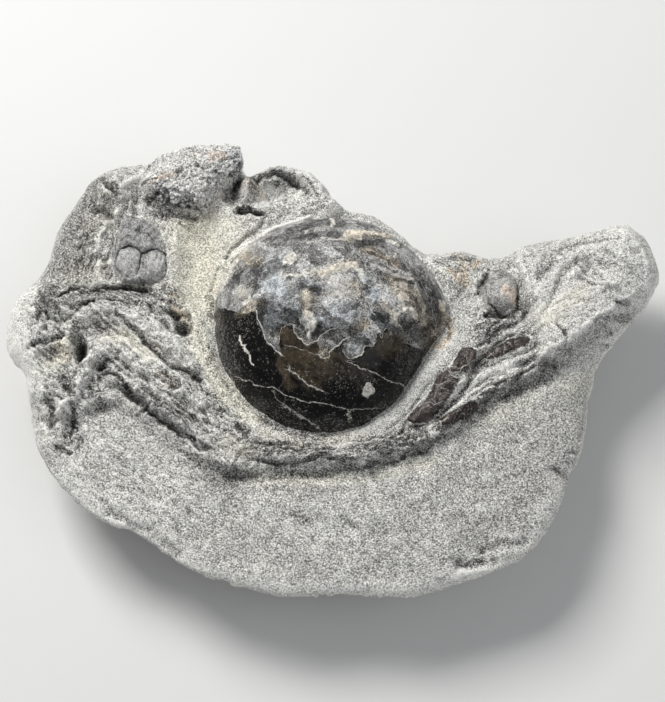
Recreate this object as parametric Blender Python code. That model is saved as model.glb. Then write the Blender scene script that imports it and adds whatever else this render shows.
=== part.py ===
"""Fossil crab in its stone nodule: a domed carapace with broken legs and claws, each piece set in the matrix.

Lengths are millimetres until a mesh is made. The nodule rests on its flat base at z = 0, with the front of
the crab towards +Y and its left side towards -X.
"""
import math

import bmesh
import bpy
import numpy as np
from mathutils import Vector, noise
from mathutils.geometry import delaunay_2d_cdt

MM = 0.001
GAP = 0.3            # clearance between a fossil piece and the stone around it

# Stone nodule, seen from above: its widest outline, anticlockwise from the right arm's tip
NODULE_OUTLINE = [
    (67.5, 17), (67, 22), (65.3, 27.3), (61.5, 30.2), (56, 29.2), (50, 27), (42.5, 25.5), (37, 24), (32, 23),
    (27, 25), (23, 24), (19.5, 24), (16.8, 25.8), (12.5, 30.3), (8.8, 33), (3, 33.8), (0.4, 35.7), (-1.4, 39.5),
    (-4, 42.4), (-9, 44), (-13.5, 44.8), (-17.5, 42), (-19, 44.5), (-20.5, 48.5), (-27, 49.2), (-33, 48.2),
    (-39, 45.5), (-45.5, 44.7), (-50.3, 42.3), (-54.2, 37.2), (-58.2, 30), (-59.3, 23.5), (-61.5, 18.5),
    (-65.5, 13.5), (-67, 7.3), (-66, 1.5), (-62, -4), (-60.8, -12), (-59.2, -17.5), (-55.5, -24), (-50.5, -30),
    (-44, -34.5), (-38.5, -36.3), (-33, -40), (-27, -44), (-20, -46.3), (-9.5, -49), (2, -48.4), (13, -49.3),
    (21, -47.2), (34, -43), (38.8, -39.5), (43.6, -32.8), (46.7, -25.3), (49.3, -20), (51.3, -13), (52, -8),
    (54.2, -1.7), (59, 6.3), (64.7, 11.7),
]
OUTLINE_STEP = 3.2   # spacing of points along the nodule's outline
FIELD_STEP = 2.3     # spacing of points on the crab's part of the top
FRONT_STEP = 4.0     # spacing of points on the plain front part of the top
FRONT_LIMIT = -26.5  # the plain front part lies below this y

TOP_HEIGHT = 21.0    # top of the stone at its middle, before the crab's raised field
TOP_FALL_X = 1800.0  # the top falls by x * x / TOP_FALL_X towards its ends
TOP_FALL_Y = 900.0
RIM_FALL_BACK = 7.0  # how far the top rounds down to the outline, and over what width
RIM_WIDTH_BACK = 9.0
RIM_FALL_FRONT = 2.5
RIM_WIDTH_FRONT = 3.0
RIM_RING = 1.8       # ring of points inside the outline, so that the rim is round

BASE_CENTRE = (-3.0, -6.0)
BASE_RADII = (38.0, 23.0)
SIDE_ROWS = 5
BASE_SLOPE_FRONT = 0.65   # how straight the undercut runs from outline to base: 1 is a cone, 0 a bowl
BASE_SLOPE_BACK = 0.15
BASE_EVENING = 6          # neighbours on each side that even out the base's corners
SIDE_LUMPS = 2.0          # unevenness of the flanks
SIDE_LUMP_SIZE = 14.0

# Raised field that holds the crab, and the right arm of the nodule above it
CRAB_FIELD = [
    (-75, -8), (-60, -9), (-55, -14), (-50, -13), (-46, -10.5), (-42, -10.5), (-38, -13.5), (-34, -16.5),
    (-29, -20), (-25, -23), (-19, -25), (-12, -24.5), (-4, -24.5), (6, -24.3), (13, -22.5), (20, -19),
    (27, -14), (33, -10), (39, -5.5), (46, -1), (53.5, 4.5), (62, 11), (75, 16), (75, 55), (-75, 55),
]
CRAB_FIELD_RISE = 2.0
RIGHT_ARM = [(39, 40), (37, 18), (39.5, 8), (41, 2), (41, -3), (46, -0.5), (53.5, 5), (62, 11.5), (75, 17), (75, 40)]
RIGHT_ARM_RISE = 3.2
ARM_HOLLOW = [(48.5, 14.5), (52, 20), (56.5, 14.5), (52.5, 12.5)]

# Ridges of the stone: path, half width, rise
RIDGES = [
    ([(-17.5, 37), (-15, 39.5), (-10, 41), (-6, 40), (-3, 37), (0, 33)], 2.6, 3.2),   # lip of the scoop
    ([(-61, 12), (-62.5, 6), (-62.5, 1), (-60, -5)], 4.5, 1.8),                       # smooth left rind
    ([(-58, 9), (-50, 11), (-40, 11), (-33, 9)], 2.6, 1.4),                           # bank above the left legs
    ([(-50, 22), (-48, 28), (-46.5, 33)], 2.5, 1.2),                                  # bank beside the left arm
    ([(-54, -13), (-56, -19)], 2.0, 1.0),
    ([(26, -7.5), (30, -5.3), (34, -3.6), (38, -1.3)], 1.2, 0.9),                     # between right legs 2 and 3
    ([(36, -6), (43, -3)], 1.6, 1.0),
]
# Rounded bumps (positive) and hollows (negative): centre, radii, height
SWELLS = [
    ((-45.5, 37.5), (6.0, 6.0), 3.5),     # lump beside the left claw
    ((-30, 40), (15.0, 9.0), 3.0),        # the stone that carries the left claw
    ((-26.5, 19), (6.5, 15.0), -3.2),     # smooth valley between the left arm and the carapace
    ((26.5, 9), (4.0, 9.5), -1.6),        # smooth valley right of the carapace
    ((-10.5, 35), (7.0, 5.0), -2.8),      # scoop behind the carapace
    ((-20.5, 36), (3.0, 4.5), -5.0),      # hollow under the broken end of the left claw
    ((-56.5, -1), (3.5, 3.0), -1.8),
    ((-50.3, -0.3), (1.7, 2.8), -3.5),    # pit between left legs 1 and 2
    ((-46.5, -3.6), (2.2, 1.3), -2.0),
    ((-29.8, 4.5), (2.2, 1.7), -2.2),
    ((-22, -24), (4.5, 2.5), 1.0),
]
GROOVES = [
    ([(-53, 12.8), (-48, 12.6), (-43, 14), (-38, 13.4)], 0.9, -1.2),                  # crack above the left legs
    ([(-41, -9.2), (-37, -12.8), (-32, -16.8), (-26, -20)], 1.3, -2.0),               # slots under left leg 3
    ([(-15, -24), (-6, -24.4), (6, -24), (16, -21.5)], 1.3, -1.0),                    # undercut of the hind leg
    ([(31, -10.5), (36, -7.3)], 1.3, -1.0),
]
MOAT_WIDTH = 4.0     # shallow channel around the carapace
MOAT_DEPTH = 1.0
ROUGHNESS = 0.55     # height of the stone's broken surface
ROUGH_SIZE = 7.0     # and its size from lump to lump

# Carapace: outline where it meets the stone, clockwise from its left side
CARAPACE_OUTLINE = [
    (-24, 9), (-23.5, 14), (-21.5, 18), (-19, 22), (-16, 25), (-12.5, 27), (-9, 28.5), (-5, 29.5), (0, 30),
    (6, 29.3), (12, 26.3), (17, 22), (20, 18.5), (22.3, 14.5), (23.7, 11), (23.2, 7.5), (21.5, 3.5), (19.5, -0.5),
    (17, -4), (14.5, -8), (12, -11.5), (9, -14), (5, -16.3), (0, -17.6), (-5, -17.2), (-10, -15.6), (-14, -13),
    (-18, -9.5), (-20.5, -6), (-22.3, -2.5), (-23.5, 2),
]
CARAPACE_MIDDLE = (-0.3, 6.5)
CARAPACE_RADIUS = 23.7      # round shape that its outline passes into towards the top
CARAPACE_STEP = 4.0
CARAPACE_EDGE = 20.3        # height of its buried edge
CARAPACE_TOP = 36.0
CARAPACE_KEEL = 15.0        # its buried underside
DOME_SQUARENESS = 2.1       # a larger value gives a flatter top
DOME_FULLNESS = 0.62        # a smaller value gives steeper flanks

# Legs and claw pieces: path from the body outwards, with the half width there
LEFT_LEG_1 = [(-27.5, -3.6, 1.7), (-31, 0, 2.1), (-35, 3.3, 2.2), (-39, 6, 2.3), (-43, 8, 2.3), (-48, 8, 2.0),
              (-51.7, 6, 1.8), (-53.3, 2.5, 1.6), (-53.3, -2, 1.3)]
LEFT_LEG_2 = [(-26, -11.6, 1.7), (-30, -8.8, 2.1), (-34, -5.3, 2.3), (-38, -1.8, 2.4), (-42, 0.9, 2.4),
              (-45.6, 0.3, 2.0), (-48.2, -2.6, 1.6), (-49.8, -6.2, 1.5), (-51.6, -9.8, 1.4), (-53.6, -13, 1.2)]
LEFT_LEG_3 = [(-24.3, -18.8, 1.4), (-28, -16.4, 1.8), (-31.8, -13.6, 1.9), (-35.4, -10.7, 1.9), (-39, -7.6, 1.8),
              (-42, -5.9, 1.6), (-45, -6.2, 1.3)]
RIGHT_LEG_1 = [(16, -14.7, 1.7), (18.6, -12.7, 2.1), (21.2, -9.7, 2.3), (23.5, -6.7, 2.3), (26, -3.6, 2.1),
               (27.6, -0.9, 1.6)]
RIGHT_LEG_2 = [(31.4, -1.9, 1.4), (34, -0.4, 1.7), (36.8, 0.9, 1.7), (39, 1.7, 1.3)]
RIGHT_LEG_3 = [(21.7, -14.9, 1.4), (24.6, -13.3, 1.8), (27.7, -11, 2.0), (30.8, -8.7, 2.0), (34, -6.7, 1.6),
               (36.4, -5.2, 1.1)]
HIND_LEG = [(-16, -21.2, 1.4), (-8, -21.9, 1.7), (0, -21.9, 1.8), (7, -21.2, 1.8), (12.5, -20, 1.7), (17, -18.4, 1.4)]
LEG_RISE = 1.6              # how far a leg's crest stands above the stone
LEG_SIDES = 8

LEFT_ARM_OUTLINE = [
    (-42.5, 29.3), (-39, 29.3), (-37, 27.5), (-35.2, 24.5), (-34.2, 21), (-34, 18), (-35.5, 15.5), (-39.5, 15),
    (-43, 16), (-44.7, 19), (-45, 22), (-44.2, 25.5),
]
LEFT_ARM_RISE = 1.3
LEFT_HAND_OUTLINE = [
    (-40.5, 31.2), (-36, 31), (-31, 31), (-27, 31.3), (-24.2, 33.3), (-22.8, 36.3), (-22.2, 39.3), (-20.8, 43),
    (-22.5, 45.8), (-28, 46), (-33.5, 44.5), (-38.5, 41.8), (-42, 38.2), (-42.2, 34.5),
]
LEFT_HAND_TOP = 27.5
STUMP_CENTRE = (33.6, 12.2)
STUMP_RADII = (3.2, 4.6, 3.2)
STUMP_RISE = 2.0
PLATE_DEPTH = 3.0           # how deep the claw pieces are set in the stone


# ---------------------------------------------------------------- outlines and relief

def smooth_loop(corners, step):
    """Closed smooth curve through the corners, with points about a step apart."""
    loop = []
    count = len(corners)
    for i in range(count):
        before, start, end, after = (np.array(corners[(i + k) % count], float) for k in (-1, 0, 1, 2))
        parts = max(1, round(np.linalg.norm(end - start) / step))
        for part in range(parts):
            t = part / parts
            loop.append(tuple(0.5 * (2 * start + (end - before) * t
                                     + (2 * before - 5 * start + 4 * end - after) * t ** 2
                                     + (3 * start - before - 3 * end + after) * t ** 3)))
    return loop


def smooth_path(stations, parts):
    """Open smooth curve through the stations, with so many parts between each two."""
    rows = [np.array(s, float) for s in stations]
    rows = [2 * rows[0] - rows[1]] + rows + [2 * rows[-1] - rows[-2]]
    path = []
    for before, start, end, after in zip(rows, rows[1:], rows[2:], rows[3:]):
        for part in range(parts):
            t = part / parts
            path.append(0.5 * (2 * start + (end - before) * t + (2 * before - 5 * start + 4 * end - after) * t ** 2
                               + (3 * start - before - 3 * end + after) * t ** 3))
    path.append(rows[-2])
    return path


def ramp(low, high, value):
    """Smooth step from 0 at low to 1 at high."""
    t = np.clip((value - low) / (high - low), 0.0, 1.0)
    return t * t * (3.0 - 2.0 * t)


def line_distance(x, y, points):
    """Distance from each place to a line of points."""
    nearest = np.full(np.shape(x), 1e6)
    for (x0, y0), (x1, y1) in zip(points, points[1:]):
        dx, dy = x1 - x0, y1 - y0
        along = np.clip(((x - x0) * dx + (y - y0) * dy) / (dx * dx + dy * dy), 0.0, 1.0)
        nearest = np.minimum(nearest, np.hypot(x - x0 - along * dx, y - y0 - along * dy))
    return nearest


def depth_inside(x, y, outline):
    """Distance from the outline, positive inside it and negative outside."""
    closed = list(outline) + [outline[0]]
    inside = np.zeros(np.shape(x), bool)
    for (x0, y0), (x1, y1) in zip(closed, closed[1:]):
        if y0 == y1:
            continue
        crosses = (y0 > y) != (y1 > y)
        inside ^= crosses & (x < x0 + (y - y0) * (x1 - x0) / (y1 - y0))
    return np.where(inside, 1.0, -1.0) * line_distance(x, y, closed)


def broken_surface(x, y):
    """Uneven height of broken stone at each place."""
    return np.array([noise.fractal(Vector((a, b, 0.0)) / ROUGH_SIZE, 1.0, 2.0, 3) for a, b in zip(x, y)])


def stone_top(x, y):
    """Height of the stone's upper surface at each place, before the fossil pieces are let in."""
    x = np.atleast_1d(np.asarray(x, float))
    y = np.atleast_1d(np.asarray(y, float))
    height = TOP_HEIGHT - x ** 2 / TOP_FALL_X - y ** 2 / TOP_FALL_Y
    height += CRAB_FIELD_RISE * ramp(-1.2, 1.2, depth_inside(x, y, CRAB_FIELD))
    height += RIGHT_ARM_RISE * ramp(-1.2, 1.6, depth_inside(x, y, RIGHT_ARM))
    height -= 1.2 * ramp(0.0, 1.5, depth_inside(x, y, ARM_HOLLOW))
    for path, half_width, rise in RIDGES + GROOVES:
        height += rise * np.exp(-(line_distance(x, y, path) / half_width) ** 2)
    for (cx, cy), (rx, ry), rise in SWELLS:
        spread = ((x - cx) / rx) ** 2 + ((y - cy) / ry) ** 2
        height += rise * np.clip(1.0 - spread, 0.0, 1.0) ** 1.5
    from_shell = np.maximum(-depth_inside(x, y, CARAPACE_OUTLINE), 0.0)
    height -= MOAT_DEPTH * np.clip(1.0 - from_shell / MOAT_WIDTH, 0.0, 1.0) ** 2
    height += ROUGHNESS * broken_surface(x, y)
    front = ramp(-8.0, -30.0, y)
    width = RIM_WIDTH_BACK + (RIM_WIDTH_FRONT - RIM_WIDTH_BACK) * front
    fall = RIM_FALL_BACK + (RIM_FALL_FRONT - RIM_FALL_BACK) * front
    edge = np.clip(1.0 - depth_inside(x, y, NODULE_LOOP) / width, 0.0, 1.0)
    return height - fall * (1.0 - np.sqrt(1.0 - edge ** 2))


NODULE_LOOP = smooth_loop(NODULE_OUTLINE, OUTLINE_STEP)


# ---------------------------------------------------------------- building helpers

def clear_scene():
    for old in list(bpy.data.objects):
        bpy.data.objects.remove(old, do_unlink=True)


def finish(name, colour, roughness):
    """Plain material of one piece."""
    material = bpy.data.materials.new(name)
    material.use_nodes = True
    shader = material.node_tree.nodes["Principled BSDF"]
    shader.inputs["Base Color"].default_value = (*colour, 1.0)
    shader.inputs["Roughness"].default_value = roughness
    shader.inputs["Metallic"].default_value = 0.0
    return material


def closed_mesh(name, corners, faces, material):
    """Object from corners in millimetres, with its faces turned outwards."""
    shape = bmesh.new()
    points = [shape.verts.new(Vector(corner) * MM) for corner in corners]
    for face in faces:
        shape.faces.new([points[i] for i in face])
    bmesh.ops.recalc_face_normals(shape, faces=shape.faces)
    mesh = bpy.data.meshes.new(name)
    shape.to_mesh(mesh)
    shape.free()
    mesh.materials.append(material)
    piece = bpy.data.objects.new(name, mesh)
    bpy.context.scene.collection.objects.link(piece)
    return piece


def bridge(first, second, count):
    """Faces between two rings of corners, given by the number of each ring's first corner."""
    return [(first + i, first + (i + 1) % count, second + (i + 1) % count, second + i) for i in range(count)]


def surface_triangles(loop, places):
    """Triangles of a flat field bounded by the loop; the loop's own corners come first."""
    corners = [Vector(p) for p in loop] + [Vector(p) for p in places]
    found = delaunay_2d_cdt(corners, [], [list(range(len(loop)))], 1, 1e-6)
    return [tuple(v) for v in found[0]], [tuple(f) for f in found[2]]


def ring_inside(loop, inset):
    """Points at one distance inside the loop, one for each of its corners where there is room."""
    points = np.array(loop)
    along = np.roll(points, -1, axis=0) - np.roll(points, 1, axis=0)
    inward = np.column_stack((-along[:, 1], along[:, 0])) / np.linalg.norm(along, axis=1)[:, None]
    ring = points + inward * inset
    clear = depth_inside(ring[:, 0], ring[:, 1], loop) > 0.9 * inset
    return [tuple(p) for p, keep in zip(ring, clear) if keep]


def field_places(loop, step, low_y, high_y, margin):
    """Points of a staggered grid between two y limits, kept a margin clear of the loop."""
    places = []
    row_gap = step * math.sqrt(0.75)
    xs = [p[0] for p in loop]
    ys = [p[1] for p in loop]
    rows = range(math.ceil(max(low_y, min(ys)) / row_gap), math.floor(min(high_y, max(ys)) / row_gap) + 1)
    for row in rows:
        shift = 0.5 * step * (row % 2)
        columns = range(math.floor(min(xs) / step), math.ceil(max(xs) / step) + 1)
        places += [(column * step + shift, row * row_gap) for column in columns]
    x, y = np.array(places).T
    clear = depth_inside(x, y, loop) > margin
    return [place for place, keep in zip(places, clear) if keep]


def let_in(stone, cutter):
    """Cut the pocket of one piece into the stone."""
    cutter.hide_render = True
    cutter.display_type = "WIRE"
    pocket = stone.modifiers.new(cutter.name, "BOOLEAN")
    pocket.operation = "DIFFERENCE"
    pocket.solver = "EXACT"
    pocket.object = cutter


# ---------------------------------------------------------------- pieces

def base_corners(rim):
    """Corner of the flat base below each corner of the outline, spread evenly around the base."""
    offset = (rim[:, :2] - BASE_CENTRE) / BASE_RADII
    angle = np.unwrap(np.arctan2(offset[:, 1], offset[:, 0]))
    turn = 2.0 * math.pi * np.sign(angle[-1] - angle[0])
    wide = np.concatenate((angle - turn, angle, angle + turn))
    count = len(angle)
    even = np.array([wide[count + i - BASE_EVENING:count + i + BASE_EVENING + 1].mean() for i in range(count)])
    return np.array(BASE_CENTRE) + np.array(BASE_RADII) * np.column_stack((np.cos(even), np.sin(even)))


def make_stone(material):
    """Nodule: relief on top, undercut flanks below its outline, and a flat base."""
    places = ring_inside(NODULE_LOOP, RIM_RING)
    margin = RIM_RING + 0.5 * FIELD_STEP
    places += field_places(NODULE_LOOP, FIELD_STEP, FRONT_LIMIT, 60.0, margin)
    places += field_places(NODULE_LOOP, FRONT_STEP, -60.0, FRONT_LIMIT - 0.5 * FRONT_STEP, margin)
    flat, faces = surface_triangles(NODULE_LOOP, places)
    x, y = np.array(flat).T
    corners = list(zip(x, y, stone_top(x, y)))
    count = len(NODULE_LOOP)
    rim = np.array(corners[:count])
    foot = base_corners(rim)
    straight = BASE_SLOPE_BACK + (BASE_SLOPE_FRONT - BASE_SLOPE_BACK) * ramp(5.0, -25.0, rim[:, 1])
    previous = 0
    for row in range(1, SIDE_ROWS + 1):
        first = len(corners)
        turn = row / SIDE_ROWS
        inward = straight * turn + (1.0 - straight) * (1.0 - math.cos(turn * math.pi / 2))
        height = rim[:, 2] * (1.0 - straight * turn - (1.0 - straight) * math.sin(turn * math.pi / 2))
        place = foot + (rim[:, :2] - foot) * (1.0 - inward)[:, None]
        lumps = np.array([noise.noise(Vector((*p, 3.0 * z)) / SIDE_LUMP_SIZE) for p, z in zip(place, height)])
        place *= 1.0 + (SIDE_LUMPS * math.sin(turn * math.pi) * lumps / np.linalg.norm(place, axis=1))[:, None]
        corners += [(*p, z) for p, z in zip(place, height)]
        faces += bridge(previous, first, count)
        previous = first
    faces.append(tuple(range(previous, previous + count)))
    return closed_mesh("stone_matrix", corners, faces, material)


def make_dome(name, grow, material):
    """Carapace: a dome above its outline and a shallow bowl below it."""
    loop = smooth_loop(CARAPACE_OUTLINE, CARAPACE_STEP)
    rings = (0.0, 0.08, 0.17, 0.28, 0.42, 0.58, 0.75, 0.9)
    middle = np.array(CARAPACE_MIDDLE)
    count = len(loop)
    corners = []
    faces = []
    for side, reach in ((1, CARAPACE_TOP + grow - CARAPACE_EDGE), (-1, CARAPACE_EDGE - CARAPACE_KEEL + grow)):
        inner_rings = rings if side > 0 else rings[1::2]
        for inset in inner_rings:
            radius = 1.0 - inset
            height = CARAPACE_EDGE + side * reach * (1.0 - radius ** DOME_SQUARENESS) ** DOME_FULLNESS
            for place in loop:
                outward = np.array(place) - middle
                reach_out = np.linalg.norm(outward)
                even = reach_out + (CARAPACE_RADIUS - reach_out) * min(1.0, 1.5 * inset)
                corners.append((*(middle + outward / reach_out * radius * (even + grow)), height))
        corners.append((*middle, CARAPACE_EDGE + side * reach))
    ring_starts = [count * i for i in range(len(rings))]
    for outer, inner in zip(ring_starts, ring_starts[1:]):
        faces += bridge(outer, inner, count)
    top = count * len(rings)
    faces += [(ring_starts[-1] + i, ring_starts[-1] + (i + 1) % count, top) for i in range(count)]
    below = [0] + [top + 1 + count * i for i in range(len(rings[1::2]))]
    for outer, inner in zip(below, below[1:]):
        faces += bridge(outer, inner, count)
    faces += [(below[-1] + i, below[-1] + (i + 1) % count, len(corners) - 1) for i in range(count)]
    return closed_mesh(name, corners, faces, material)


def make_leg(name, stations, grow, material):
    """Leg: oval rings along its path, closed by a rounded cap at each end."""
    path = smooth_path(stations, 2)
    corners = []
    faces = []
    for i, (x, y, half_width) in enumerate(path):
        ahead = path[min(i + 1, len(path) - 1)]
        behind = path[max(i - 1, 0)]
        along = np.array([ahead[0] - behind[0], ahead[1] - behind[1]])
        along /= np.linalg.norm(along)
        across = np.array([-along[1], along[0]])
        end = -1 if i == 0 else 1 if i == len(path) - 1 else 0
        crest = float(stone_top(x, y)[0]) + LEG_RISE * half_width / 2.0
        half_height = half_width * 0.95
        middle = np.array([x, y]) + along * grow * end
        taper = 0.55 if end else 1.0
        for side in range(LEG_SIDES):
            angle = 2.0 * math.pi * side / LEG_SIDES
            out = across * math.cos(angle) * (half_width * taper + grow)
            corners.append((*(middle + out), crest - half_height
                            + math.sin(angle) * (half_height * taper + grow)))
        if i:
            faces += bridge((i - 1) * LEG_SIDES, i * LEG_SIDES, LEG_SIDES)
    faces.append(tuple(range(LEG_SIDES)))
    faces.append(tuple(range(len(corners) - LEG_SIDES, len(corners))))
    return closed_mesh(name, corners, faces, material)


def make_plate(name, outline, step, top_height, grow, material):
    """Claw piece: a lumpy top over an outline, with upright sides set in the stone."""
    middle = np.mean(outline, axis=0)
    loop = [tuple(middle + (np.array(p) - middle) * (1.0 + grow / np.linalg.norm(np.array(p) - middle)))
            for p in smooth_loop(outline, step)]
    flat, faces = surface_triangles(loop, field_places(loop, step, -60.0, 60.0, 0.5 * step))
    x, y = np.array(flat).T
    corners = list(zip(x, y, top_height(x, y) + grow))
    count = len(loop)
    floor = float(np.min(stone_top(x, y))) - PLATE_DEPTH - grow
    for inset, share in ((0.0, 0.45), (0.12, 1.0)):
        first = len(corners)
        for rim_x, rim_y, rim_z in corners[:count]:
            corners.append((rim_x + (middle[0] - rim_x) * inset, rim_y + (middle[1] - rim_y) * inset,
                            rim_z + (floor - rim_z) * share))
        faces += bridge(first - count if inset else 0, first, count)
    faces.append(tuple(range(len(corners) - count, len(corners))))
    return closed_mesh(name, corners, faces, material)


def arm_top(x, y):
    """Left arm: two low plates, rounded off at the edge."""
    inside = np.maximum(depth_inside(x, y, LEFT_ARM_OUTLINE), 0.0)
    return stone_top(x, y) + LEFT_ARM_RISE * ramp(-1.5, 2.5, inside)


def hand_top(x, y):
    """Left claw: a blocky boulder, rounded off at the edge and lower towards its left end."""
    inside = np.maximum(depth_inside(x, y, LEFT_HAND_OUTLINE), 0.0)
    lumps = np.array([noise.noise(Vector((a, b, 3.0)) / 4.0) for a, b in zip(x, y)])
    return LEFT_HAND_TOP - 4.0 * np.clip(1.0 - inside / 4.0, 0.0, 1.0) ** 2 + lumps - 1.5 * ramp(-30.0, -42.0, x)


def make_stump(name, grow, material):
    """Right claw stump: an oval knob."""
    shape = bmesh.new()
    bmesh.ops.create_uvsphere(shape, u_segments=12, v_segments=8, radius=1.0)
    crest = float(stone_top(*STUMP_CENTRE)[0]) + STUMP_RISE
    centre = Vector((*STUMP_CENTRE, crest - STUMP_RADII[2]))
    for point in shape.verts:
        point.co = (centre + Vector([c * (r + grow) for c, r in zip(point.co, STUMP_RADII)])) * MM
    mesh = bpy.data.meshes.new(name)
    shape.to_mesh(mesh)
    shape.free()
    mesh.materials.append(material)
    piece = bpy.data.objects.new(name, mesh)
    bpy.context.scene.collection.objects.link(piece)
    return piece


def build():
    clear_scene()
    stone = make_stone(finish("weathered_mudstone", (0.46, 0.45, 0.41), 0.9))
    shell = finish("black_shell", (0.035, 0.03, 0.028), 0.35)
    brown = finish("brown_shell", (0.12, 0.085, 0.07), 0.55)
    pale = finish("pale_leg_infill", (0.5, 0.5, 0.46), 0.8)
    grey = finish("grey_claw_plate", (0.25, 0.25, 0.25), 0.7)
    rough = finish("crystalline_claw", (0.38, 0.37, 0.34), 0.85)
    make_dome("carapace", 0.0, shell)
    let_in(stone, make_dome("carapace_pocket", GAP, shell))
    legs = [
        ("left_leg_1", LEFT_LEG_1, pale), ("left_leg_2", LEFT_LEG_2, pale), ("left_leg_3", LEFT_LEG_3, grey),
        ("right_leg_1", RIGHT_LEG_1, brown), ("right_leg_2", RIGHT_LEG_2, brown),
        ("right_leg_3", RIGHT_LEG_3, brown), ("hind_leg", HIND_LEG, grey),
    ]
    for name, stations, material in legs:
        make_leg(name, stations, 0.0, material)
        let_in(stone, make_leg(name + "_pocket", stations, GAP, material))
    make_plate("left_claw_arm", LEFT_ARM_OUTLINE, 2.2, arm_top, 0.0, grey)
    let_in(stone, make_plate("left_claw_arm_pocket", LEFT_ARM_OUTLINE, 2.2, arm_top, GAP, grey))
    make_plate("left_claw_hand", LEFT_HAND_OUTLINE, 2.2, hand_top, 0.0, rough)
    let_in(stone, make_plate("left_claw_hand_pocket", LEFT_HAND_OUTLINE, 2.2, hand_top, GAP, rough))
    make_stump("right_claw_stump", 0.0, grey)
    let_in(stone, make_stump("right_claw_stump_pocket", GAP, grey))


build()
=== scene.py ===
"""Looks of a fossil crab lying in its stone nodule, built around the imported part.

Lengths are millimetres until a mesh is made. The front of the crab is towards +Y and its left side towards -X.
"""

import math

import bmesh
import bpy
import numpy as np
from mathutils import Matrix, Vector, noise
from mathutils.geometry import delaunay_2d_cdt


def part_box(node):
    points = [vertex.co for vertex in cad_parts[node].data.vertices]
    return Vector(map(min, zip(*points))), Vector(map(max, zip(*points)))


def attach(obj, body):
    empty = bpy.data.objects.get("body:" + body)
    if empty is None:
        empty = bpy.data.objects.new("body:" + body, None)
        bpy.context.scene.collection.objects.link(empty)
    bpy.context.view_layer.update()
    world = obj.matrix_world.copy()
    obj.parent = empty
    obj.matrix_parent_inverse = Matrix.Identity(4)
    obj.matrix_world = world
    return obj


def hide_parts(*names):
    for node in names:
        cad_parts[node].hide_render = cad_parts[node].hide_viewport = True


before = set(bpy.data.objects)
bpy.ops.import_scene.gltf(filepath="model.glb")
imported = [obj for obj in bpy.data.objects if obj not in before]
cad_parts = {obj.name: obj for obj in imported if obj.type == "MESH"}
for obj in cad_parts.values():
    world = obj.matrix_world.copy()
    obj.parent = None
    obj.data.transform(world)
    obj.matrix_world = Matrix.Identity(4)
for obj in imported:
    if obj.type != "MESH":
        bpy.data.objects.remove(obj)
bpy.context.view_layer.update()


# ---------------------------------------------------------------- stone nodule
# A nodule of hard grey mudstone, broken open and worked down until the crab stands free on its upper side.
# The worked face is rough and granular, its flanks and underside are the nodule's natural skin, and it rests
# on a flat base. The fossil pieces are rooted in it, so its surface passes a little below each of them.

MM = 0.001


def points(text):
    """Corners, each written as x,y."""
    return [tuple(map(float, corner.split(","))) for corner in text.split()]


def strokes(text):
    """Paths, each written as its corners, its half width and its rise or strength, and ended by a semicolon."""
    plain = " ".join(line.split("#")[0] for line in text.splitlines())
    table = []
    for entry in plain.split(";")[:-1]:
        *corners, width, strength = entry.split()
        table.append((points(" ".join(corners)), float(width), float(strength)))
    return table


NODULE_OUTLINE = points("""
    67.5,17 67,22 65.3,27.3 61.5,30.2 56,29.2 50,27 42.5,25.5 37,24 32,23 27,25 23,24 19.5,24 16.8,25.8 12.5,30.3
    8.8,33 3,33.8 0.4,35.7 -1.4,39.5 -4,42.4 -9,44 -13.5,44.8 -17.5,42 -19,44.5 -20.5,48.5 -27,49.2 -33,48.2 -39,45.5
    -45.5,44.7 -50.3,42.3 -54.2,37.2 -58.2,30 -59.3,23.5 -61.5,18.5 -65.5,13.5 -67,7.3 -66,1.5 -62,-4 -60.8,-12
    -59.2,-17.5 -55.5,-24 -50.5,-30 -44,-34.5 -38.5,-36.3 -33,-40 -27,-44 -20,-46.3 -9.5,-49 2,-48.4 13,-49.3 21,-47.2
    34,-43 38.8,-39.5 43.6,-32.8 46.7,-25.3 49.3,-20 51.3,-13 52,-8 54.2,-1.7 59,6.3 64.7,11.7""")
CARAPACE_OUTLINE = points("""
    -24,9 -23.5,14 -21.5,18 -19,22 -16,25 -12.5,27 -9,28.5 -5,29.5 0,30 6,29.3 12,26.3 17,22 20,18.5 22.3,14.5 23.7,11
    23.2,7.5 21.5,3.5 19.5,-0.5 17,-4 14.5,-8 12,-11.5 9,-14 5,-16.3 0,-17.6 -5,-17.2 -10,-15.6 -14,-13 -18,-9.5
    -20.5,-6 -22.3,-2.5 -23.5,2""")
CRAB_FIELD = points("""
    -75,-8 -60,-9 -55,-14 -50,-13 -46,-10.5 -42,-10.5 -38,-13.5 -34,-16.5 -29,-20 -25,-23 -19,-25 -12,-24.5 -4,-24.5
    6,-24.3 13,-22.5 20,-19 27,-14 33,-10 39,-5.5 46,-1 53.5,4.5 62,11 75,16 75,55 -75,55""")
RIGHT_ARM = points("39,40 37,18 39.5,8 41,2 41,-3 46,-0.5 53.5,5 62,11.5 75,17 75,40")
ARM_HOLLOW = [(48.5, 14.5), (52, 20), (56.5, 14.5), (52.5, 12.5)]
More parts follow.
